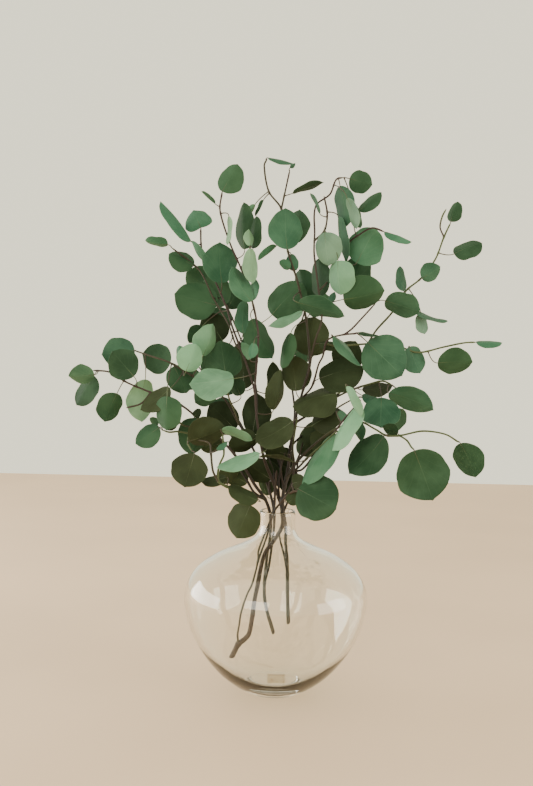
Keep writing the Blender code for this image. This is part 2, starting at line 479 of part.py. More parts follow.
def leaf(name, number, row, lines, home):
    """A round blade on its stalk, the stalk's end sunk in the wood."""
    base, along, across, facing, length, half = blade_frame(row)
    root = stalk_root(base, along, lines)
    stalk = (base - root).length
    bend = base - along * max(0.4 * stalk, SHORTEST_STALK)
    fold = 0.16 + 0.10 * vary(number, 1)
    curl = length * 0.06 * vary(number, 2)
    broad = max(length, 2 * half) > BROAD
    outline = BROAD_OUTLINE if broad else SMALL_OUTLINE
    rows = [(root, None, STALK_HALF)]
    if stalk > STRAIGHT_STALK or along.dot(base - root) < 0.0:
        middle = root * 0.25 + bend * 0.5 + base * 0.25
        rows.append((middle, None, STALK_HALF))
    rows.append((base, 0.0, STALK_HALF))
    for share, wide in outline:
        rows.append((base + along * (share * length), share, wide * half))
    bm = bmesh.new()
    bmesh.ops.create_grid(bm, x_segments=2, y_segments=len(rows) - 1, size=1.0)
    grid = sorted(bm.verts, key=lambda vert: (round(vert.co.y, 4), vert.co.x))
    for index, (spot, share, wide) in enumerate(rows):
        flat = across
        if share is None:
            way = (rows[index + 1][0] - spot).normalized()
            flat = across - way * across.dot(way)
            if flat.length < 0.3:
                flat = facing - way * facing.dot(way)
            flat.normalize()
        lift = 0.0 if share is None else curl * 4 * share * (1 - share)
        for column in (-1, 0, 1):
            rise = lift + abs(column) * wide * fold * (1.0 if share else 0.0)
            reach = 0.03 * length if share == 1.0 and column == 0 else 0.0
            grid[index * 3 + column + 1].co = spot + flat * (column * wide) + facing * rise + along * reach
    middle_line = set(grid[1 : 3 * (len(rows) - len(outline)) : 3])
    rib = [edge for edge in bm.edges if set(edge.verts) <= middle_line]
    bmesh.ops.dissolve_edges(bm, edges=rib, use_verts=True)
    bmesh.ops.triangulate(bm, faces=bm.faces[:])
    bmesh.ops.recalc_face_normals(bm, faces=bm.faces[:])
    made = new_object(name, mesh_from(bm, name), home)
    thick = made.modifiers.new("thick", "SOLIDIFY")
    thick.thickness = BLADE_THICK
    thick.offset = 0.0


def branch_pieces(name, home):
    """The main length of wood in the branch's own place, and all that grows from it in a helper one."""
    helpers = new_collection(name + "_helpers", hidden=True)
    shoots = WOOD[name]
    lines = [[placed(*point) for point in shoot_row[2]] for shoot_row in shoots]
    main = shoot(name + "_wood", *shoots[0], home)
    for index, shoot_row in enumerate(shoots[1:], 1):
        shoot(f"{name}_shoot_{index:02d}", *shoot_row, helpers)
    for number, row in enumerate(LEAVES[name]):
        leaf(f"{name}_leaf_{number:02d}", number, row, lines, helpers)
    main.name = name
    return main, helpers


def build_branch(name, home):
    """One cut branch: wood, stalks and leaves grown as one."""
    main, helpers = branch_pieces(name, home)
    joined(main, helpers, "UNION")
    coloured(main, LEAF_GREENS[name], 0.6)


def build_vase(home):
    """The blown vase with the label's pocket under its base, and the label."""
    profile = [(0.0, 0.0), *VASE_OUTER, *VASE_RIM, *VASE_INNER, (0.0, VASE_FLOOR)]
    vase = settle(turned("vase", profile[::-1], VASE_STEPS, home))
    cutters = new_collection("vase_cutters", hidden=True)
    pocket = [side + 2 * POCKET_MARGIN for side in LABEL_SIZE[:2]]
    box("pocket", (*pocket, 2 * POCKET_DEPTH), (*LABEL_CENTRE, 0.0), cutters)
    joined(vase, cutters, "DIFFERENCE")
    coloured(vase, GLASS, 0.03, clear=1.0)
    middle = LABEL_LIFT + LABEL_SIZE[2] / 2
    label = box("base_label", LABEL_SIZE, (*LABEL_CENTRE, middle), home)
    coloured(label, PAPER, 0.8)


def main():
    for obj in list(bpy.data.objects):
        bpy.data.objects.remove(obj)
    home = new_collection("eucalyptus_in_vase")
    build_vase(home)
    for name in WOOD:
        build_branch(name, home)


main()
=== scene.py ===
"""Eucalyptus branches in a round clear glass vase: the looks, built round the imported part.

Lengths are metres unless a name ends in _mm. The sighted tables hold centimetres: x and z as seen on the
upright plane through the vase's axis, and y as the depth behind it. A sighted point goes out along the
viewer's line of sight to its depth. Every finished piece sits at the origin, with its place in its mesh.
"""

import logging
import math
from collections.abc import Callable, Sequence
from dataclasses import dataclass
from enum import Enum, IntEnum

import bmesh
import bpy
from mathutils import Matrix, Vector


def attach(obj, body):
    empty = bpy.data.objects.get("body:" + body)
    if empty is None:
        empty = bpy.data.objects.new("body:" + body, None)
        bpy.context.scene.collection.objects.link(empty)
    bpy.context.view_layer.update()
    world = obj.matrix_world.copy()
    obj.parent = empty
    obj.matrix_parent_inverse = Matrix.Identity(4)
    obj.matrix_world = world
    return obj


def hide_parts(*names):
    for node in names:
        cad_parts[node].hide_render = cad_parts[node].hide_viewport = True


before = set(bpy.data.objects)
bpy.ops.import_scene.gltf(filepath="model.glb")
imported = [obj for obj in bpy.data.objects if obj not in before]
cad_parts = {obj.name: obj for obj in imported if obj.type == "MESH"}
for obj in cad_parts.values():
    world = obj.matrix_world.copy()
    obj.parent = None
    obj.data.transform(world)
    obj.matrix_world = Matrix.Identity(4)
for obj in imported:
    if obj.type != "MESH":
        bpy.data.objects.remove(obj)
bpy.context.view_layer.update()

LOG = logging.getLogger("eucalyptus")
BODY = "root"
CM = 0.01
MM = 0.001
EYE = Vector((-0.015, -1.185, 0.3965))
MERGE_REACH = 0.01 * MM
NUMBER_TURN, KIND_TURN = 12.9898, 78.233
Colour = tuple[float, float, float]
Place = tuple[float, float, float]


class Tone(Enum):
    """How pale or dark a leaf is on the side that faces the viewer."""

    # DARK is partly the leaves' own dark green and partly painted shade for leaves deep inside the bunch.
    DARK = "dark"
    DEEP = "deep"
    MID = "mid"
    BRIGHT = "bright"
    PALE = "pale"
    # LIGHT is partly a pale underside and partly painted light shining through the thin blade.
    LIGHT = "light"
    SILVER = "silver"
    OLIVE = "olive"


class Bark(Enum):
    """Colour of a length of bark, as red, green and blue from 0 to 255."""

    BROWN = (54, 42, 33)
    GREY_GREEN = (58, 57, 46)
    OLIVE = (44, 41, 30)
    PURPLE = (46, 30, 33)
    DARK = (44, 38, 30)
    GREEN = (66, 80, 48)
    PALE_GREEN = (138, 150, 110)


class Trait(IntEnum):
    """What differs from leaf to leaf."""

    FOLD = 1
    CURL = 2
    FOOT = 3
    TIP = 4
    SKEW = 5
    BEAT = 6
    WAVE = 7
    SHADE = 8
    PEAK = 9
    LEAN = 10
    FULLNESS = 11


LeafRow = tuple[float, float, float, float, float, float, int, Tone]
ShootRow = tuple[float, float, Bark, Bark, tuple[Place, ...]]

# Wood of each branch. A shoot is its radius at the root and at the tip in mm, the bark's colour there,
# then its x, z, y points. The shoots from dark to purple bark are fine twigs that crowd above the neck.
WOOD: dict[str, tuple[ShootRow, ...]] = {
    "branch_left": (
        (1.9, 0.9, Bark.GREY_GREEN, Bark.PURPLE, (
            (-0.15, 6.4, 7.1), (-0.8, 8.4, 6), (-1.2, 10.3, 4.9), (-1.25, 12, 3.9), (-1.15, 13.6, 3),
            (-1, 15.2, 2.2), (-0.8, 16.7, 1.5), (-0.72, 18.2, 0.75), (-0.85, 19.8, 0.1),
            (-1.4, 21.2, -0.6), (-2.6, 22.8, -1.2), (-4, 25, -1.2), (-6.5, 27.8, -1),
            (-8.8, 29.8, -0.6), (-10.8, 31.3, -0.3), (-14.1, 32.6, 0.2), (-16.65, 33.6, 0),
            (-18.6, 34.7, -0.4), (-20.4, 34.85, -0.8),
        )),
        (1.4, 0.9, Bark.GREY_GREEN, Bark.OLIVE, (
            (-1.25, 12, 3.9), (-0.95, 13.2, 3.5), (-0.72, 14.4, 3.1), (-0.5, 16.4, 2.3),
            (-0.35, 18.4, 1.3), (-0.4, 20, 1.15), (-0.9, 22, 1.4), (-1.8, 24.5, 1.6), (-3.2, 27.4, 2.4),
            (-4.5, 29.5, 2.8), (-6, 32, 2.2), (-8, 33.6, 1), (-9.6, 34.5, 0), (-12.1, 35.9, -0.6),
            (-14, 36.5, 0), (-15.9, 37.1, 1.3),
        )),
        (1, 0.9, Bark.GREEN, Bark.GREEN, (
            (-8.2, 29.3, -0.7), (-9.4, 28.9, -1.2), (-9.8, 28.2, -1.6), (-9.95, 27.2, -2.6),
            (-9.5, 26.3, -3.6),
        )),
        (1, 0.9, Bark.GREEN, Bark.GREEN, (
            (-9.8, 28.2, -1.6), (-11, 28.4, -1.6), (-12, 28.3, -1.5), (-12.7, 28.5, -1.5),
        )),
        (1, 0.9, Bark.OLIVE, Bark.GREEN, (
            (-9.4, 28.9, -1.2), (-10.5, 29.1, -1.2), (-11.1, 29.6, -1.2),
        )),
        (1.2, 0.9, Bark.GREEN, Bark.GREEN, (
            (-1.4, 21.2, -0.6), (-3.3, 21.8, -2.2), (-5.4, 22.4, -3.2), (-6.5, 23, -3.6),
            (-6.6, 24, -3.8), (-6.4, 25, -4), (-6, 26, -4.2), (-6.2, 28.3, -4.2),
        )),
        (1, 0.9, Bark.OLIVE, Bark.OLIVE, (
            (-6.5, 23, -3.6), (-7.1, 24, -4), (-7.3, 25, -4.2), (-7.4, 26, -4.2), (-7.6, 27.2, -3.9),
            (-8.8, 27.5, -3.5),
        )),
        (1, 0.9, Bark.DARK, Bark.GREEN, (
            (-1.4, 21.2, -0.6), (-2.6, 21.9, -0.3), (-3.4, 23.2, 0.2), (-4.3, 24.6, 1.4),
            (-4.9, 26.5, 2.6), (-5.2, 28, 3.6), (-6, 28.2, 5.4), (-6.2, 28, 6.6),
        )),
        (1, 0.9, Bark.PALE_GREEN, Bark.PALE_GREEN, (
            (-4.4, 29.3, 2.8), (-4.8, 30.4, 2), (-5.1, 31.1, 1.5), (-5.6, 32.3, 0.4),
            (-5.9, 33.9, -0.7),
        )),
        (1, 0.9, Bark.PURPLE, Bark.PURPLE, (
            (-14.1, 32.6, 0.2), (-14.6, 31.9, 0), (-15.2, 31.3, -0.2), (-16.75, 30.85, -0.4),
        )),
        (1.1, 0.9, Bark.OLIVE, Bark.OLIVE, (
            (-3.2, 27.4, 2.4), (-4.6, 30, 6), (-6.8, 33, 9), (-9.2, 35.8, 12),
        )),
        (0.9, 0.6, Bark.DARK, Bark.PURPLE, (
            (-0.4, 20, 1.15), (-0.3, 21.2, 1.7), (-0.6, 22.8, 2.3), (-1.2, 24.8, 2.9),
        )),
        (0.9, 0.6, Bark.DARK, Bark.PURPLE, (
            (-0.9, 22, 1.4), (-1, 23.2, 0.8), (-1.5, 24.6, 0.5), (-1.6, 26.2, 0.4),
        )),
    ),
    "branch_middle": (
        (2, 0.9, Bark.GREY_GREEN, Bark.PURPLE, (
            (1.5, 7.5, 7.3), (1.35, 10, 6.1), (1.25, 12.9, 4.2), (1.15, 14.6, 3), (1, 16.2, 2),
            (1, 17.8, 1.2), (0.85, 19, 1), (0.5, 20.2, 0.85), (0.1, 21.4, 0.5), (-0.5, 23, -0.2),
            (-1.6, 25.6, -1.4), (-2.5, 30, -2.1), (-2.8, 33, -2.1), (-3.6, 35.5, -1.9),
            (-4.6, 38, -1.4), (-5.4, 40, -0.8), (-6.05, 42, -0.2), (-7.4, 45, 0.4), (-8.8, 48, 0.6),
            (-9, 50.4, 0.4),
        )),
        (1.1, 0.9, Bark.GREY_GREEN, Bark.GREY_GREEN, (
            (1.25, 12.9, 4.2), (1, 14.2, 3.6), (0.75, 15.2, 3), (0.4, 16.4, 2.3), (0.25, 17.6, 1.5),
        )),
        (1, 0.9, Bark.OLIVE, Bark.OLIVE, (
            (-4.4, 37.5, -1.5), (-4.95, 38, -1), (-5.8, 40.2, 0.2), (-7.5, 43, 1.2), (-9.1, 46, 1.9),
            (-12.1, 48.3, 1.6),
        )),
        (1.2, 0.9, Bark.PURPLE, Bark.PURPLE, (
            (-2.8, 33, -2.1), (-2.6, 37, -2.6), (-2.55, 39.4, -2.4), (-3.35, 43, -1.6),
            (-4.55, 46.2, -1), (-5.8, 48.9, -0.6), (-6.95, 52.4, -0.4), (-6.75, 54.4, -0.4),
        )),
        (1, 0.9, Bark.PURPLE, Bark.PURPLE, (
            (-4.55, 46.2, -1), (-3.9, 47.6, -1.3), (-3.65, 48.5, -1.5),
        )),
        (1.1, 0.9, Bark.OLIVE, Bark.OLIVE, (
            (-2.5, 30, -2.1), (-2.6, 33, 2), (-3.4, 36, 6), (-4.8, 39.5, 9.5), (-6.2, 42.6, 12),
            (-7.3, 44.8, 13.2),
        )),
        (1, 0.7, Bark.DARK, Bark.PURPLE, (
            (0.5, 20.2, 0.85), (0.55, 21.4, 1.3), (0.5, 23, 1.9), (0.1, 25, 2.4), (-0.7, 27, 2.8),
        )),
        (0.9, 0.6, Bark.DARK, Bark.PURPLE, (
            (0.1, 21.4, 0.5), (-0.35, 22.4, 0.9), (-0.5, 24, 1.4), (-1.1, 25.8, 1.6),
        )),
    ),
    "branch_right": (
        (2.8, 0.9, Bark.BROWN, Bark.OLIVE, (
            (-4.7, 3.6, 2), (-4.4, 4.2, 2), (-4, 5, 1.95), (-3.3, 5.6, 1.9), (-2.85, 6.2, 1.85),
            (-2.5, 8.2, 1.55), (-2.3, 10, 1.25), (-1.95, 12, 0.9), (-1.6, 14, 0.55), (-1.2, 15.2, 0.35),
            (-0.65, 16, 0.2), (0.05, 17.2, 0.05), (0.45, 18, 0), (0.62, 18.7, -0.05),
            (0.55, 19.6, -0.1), (0.5, 21, -0.1), (0.7, 22.6, 0.2), (1, 24, 0.6), (1.3, 27.5, 1),
            (1.8, 30.5, 0.8), (2.5, 33.4, 0.3), (3.1, 36, 0.4), (3, 38, 0.6), (2.6, 41, 0.4),
            (2.1, 43, 0), (1.5, 45.2, -0.4), (0.4, 48.4, -0.8), (-0.35, 52.7, 0), (-1.75, 54.55, 0.2),
            (-2.3, 57.3, 0.2), (-2, 58, 0.1),
        )),
        (1, 0.7, Bark.DARK, Bark.PURPLE, (
            (0.55, 19.6, -0.1), (0.95, 20.6, 0.3), (1.5, 22, 0.9), (1.9, 23.6, 1.4), (2.1, 25.4, 1.8),
            (2.6, 27.6, 2),
        )),
        (1, 0.7, Bark.DARK, Bark.PURPLE, (
            (0.5, 20.4, -0.1), (0.15, 21.6, 0.5), (0.05, 23.2, 1.2), (0.25, 25, 1.6), (-0.2, 27, 1.9),
        )),
        (1.1, 0.7, Bark.DARK, Bark.PURPLE, (
            (0.5, 21, -0.1), (1.05, 22, -0.6), (1.55, 23.2, -1), (1.75, 24.8, -1.1), (2.3, 26.4, -0.9),
        )),
        (0.9, 0.6, Bark.DARK, Bark.PURPLE, (
            (0.7, 22.6, 0.2), (0.35, 23.6, -0.3), (0.3, 24.8, -0.6), (0.7, 26.4, -0.5),
        )),
        (1, 0.9, Bark.OLIVE, Bark.PURPLE, (
            (-0.35, 52.7, 0), (0.1, 55, 0.6), (0.45, 56.8, 0.9),
        )),
        (1, 0.9, Bark.GREY_GREEN, Bark.BROWN, (
            (-4, 5, 1.95), (-4.1, 6.1, 1.4), (-3.95, 7.1, 1), (-3.8, 8.3, 0.6), (-3.5, 9.5, 0.2),
            (-3.1, 10.7, -0.1), (-2.5, 12.1, -0.4), (-2, 14.4, -0.7), (-2, 15.2, -0.8),
            (-1.6, 16.5, -0.95), (-0.95, 18.2, -1.1), (-0.3, 20, -1.35), (0.3, 20.8, -1.8),
            (1, 21.6, -2.7), (1.7, 22.1, -3.6), (2.6, 22.15, -4.7),
        )),
        (1, 0.9, Bark.GREY_GREEN, Bark.PURPLE, (
            (-2.05, 14.1, -0.7), (-1.65, 15.3, -0.5), (-1.35, 16.2, -0.45), (-1.05, 17.2, -0.6),
            (-0.75, 18.4, -0.75), (-0.5, 19.8, -0.85), (-0.35, 21.2, -0.9), (-0.3, 22.8, -1.3),
            (-0.2, 24.4, -1.9),
        )),
        (1.3, 0.9, Bark.OLIVE, Bark.PURPLE, (
            (2.5, 33.4, 0.3), (3, 35, -0.7), (3.3, 37, -1.4), (3.75, 39, -1.8), (4.3, 40.9, -1.8),
            (3.9, 44, -1.4), (3.3, 48, -1), (3.3, 50.1, -0.8), (3.35, 53.1, -0.4), (4.85, 54.4, -0.4),
            (5.5, 56, -0.4), (6.3, 56.2, -0.4),
        )),
        (1, 0.9, Bark.OLIVE, Bark.PURPLE, (
            (3.3, 49.4, -0.9), (4.35, 50.5, -1), (4.6, 52.3, -0.9), (4.2, 54.2, -0.8),
        )),
        (1.2, 0.9, Bark.PURPLE, Bark.PURPLE, (
            (2.2, 32.2, 0.5), (3.4, 33.6, -0.6), (4.1, 36.1, -1.5), (4.5, 36.9, -1.8), (5, 38.7, -2.2),
            (6.5, 39.3, -2.4), (8.2, 39.5, -2.4),
        )),
        (1, 0.9, Bark.PURPLE, Bark.PURPLE, (
            (6.8, 39.35, -2.4), (7.6, 40, -2.3), (8.5, 41, -2.2), (9.9, 42.6, -2),
        )),
        (1.1, 0.9, Bark.OLIVE, Bark.PURPLE, (
            (3.9, 44, -1.4), (5.4, 45.6, 0), (6.8, 47.3, 0.4), (7, 49.2, 0), (8.2, 50.2, -1),
            (9.5, 50.9, -1.5), (10.8, 50.5, -1.5),
        )),
        (1.4, 0.9, Bark.OLIVE, Bark.GREEN, (
            (1.65, 29.6, 0.9), (3.5, 30.8, 1.4), (6, 32.5, 2.4), (8, 35.8, 2.6), (10.1, 39.7, 2),
            (11.85, 41.8, 1.6), (13.3, 44.2, 1.2), (14.9, 45.6, 0.8), (16.4, 47.7, 0.5),
            (17.25, 50.1, 0.2), (17.9, 51.6, 0),
        )),
        (1, 0.9, Bark.PURPLE, Bark.GREEN, (
            (17.25, 50.1, 0.2), (16.8, 51.1, 0.3), (17, 52.3, 0.3), (17.4, 53.1, 0.3),
        )),
        (1.2, 0.9, Bark.GREEN, Bark.GREEN, (
            (4.9, 38.3, -2.1), (5.8, 38.1, -1.8), (8.2, 38.3, -1.1), (10.5, 38.5, -0.6),
            (12.2, 38.4, -0.4), (14.8, 37.6, -0.3), (17.6, 38.25, -0.3), (19.8, 38.75, -0.4),
            (21.1, 38.85, -0.4),
        )),
        (1.1, 0.9, Bark.GREEN, Bark.GREEN, (
            (6, 32.5, 2.4), (7.6, 33.3, 1.6), (9.5, 34, 0.6), (11.1, 34.4, 0), (12.1, 34, -0.4),
        )),
        (1.4, 0.9, Bark.GREEN, Bark.GREEN, (
            (0.88, 23.5, 0.45), (1.7, 25, 0), (3.5, 27, -0.8), (6, 29, -2), (8.7, 29.9, -3.2),
            (10.5, 29.1, -4), (11.6, 28.5, -4.6), (13.1, 28.5, -5.2), (15.6, 29.05, -5.6),
            (18.1, 28.75, -5.6), (19.6, 27.9, -5.6),
        )),
        (1, 0.9, Bark.GREEN, Bark.GREEN, (
            (13.1, 28.5, -5.2), (13.9, 28, -6.8), (14.4, 27.3, -8.6), (14.7, 27, -9.8),
        )),
        (1, 0.9, Bark.GREEN, Bark.GREEN, (
            (0.95, 23.8, 0.55), (1.45, 24.3, -0.2), (1.6, 25.5, -1), (1.5, 27, -1.9), (1.9, 30.2, -3.4),
        )),
        (1, 0.9, Bark.GREEN, Bark.GREEN, (
            (1.45, 24.3, -0.2), (2.1, 24.7, -0.8), (3, 25.7, -1.8), (4.6, 27.2, -3.2),
            (6.3, 28.9, -4.6),
        )),
        (1, 0.9, Bark.PURPLE, Bark.PURPLE, (
            (1.1, 24.4, 0.6), (2.5, 24.5, -0.6), (3.9, 26.2, -1.6), (5.6, 28.2, -3.4), (7.2, 30.4, -5),
            (8.75, 32.2, -6.6),
        )),
        (1.2, 0.9, Bark.OLIVE, Bark.OLIVE, (
            (1.5, 29, 0.9), (1.6, 31, 3.5), (1.2, 34.5, 7), (1.6, 38.6, 10), (2.4, 41.6, 12),
            (3.4, 44.8, 13.4), (4.4, 47.4, 14),
        )),
        (1.1, 0.9, Bark.OLIVE, Bark.OLIVE, (
            (8, 35.8, 2.6), (8.6, 36.6, 5), (9.8, 37.2, 8), (11, 37.2, 10.4),
        )),
        (1.2, 0.9, Bark.OLIVE, Bark.OLIVE, (
            (1.2, 27, 1), (2.6, 28.4, 4), (4.6, 30, 7.5), (6.6, 31.6, 10.5), (8.6, 32.6, 12.4),
            (9.6, 32.4, 13),
        )),
    ),
}

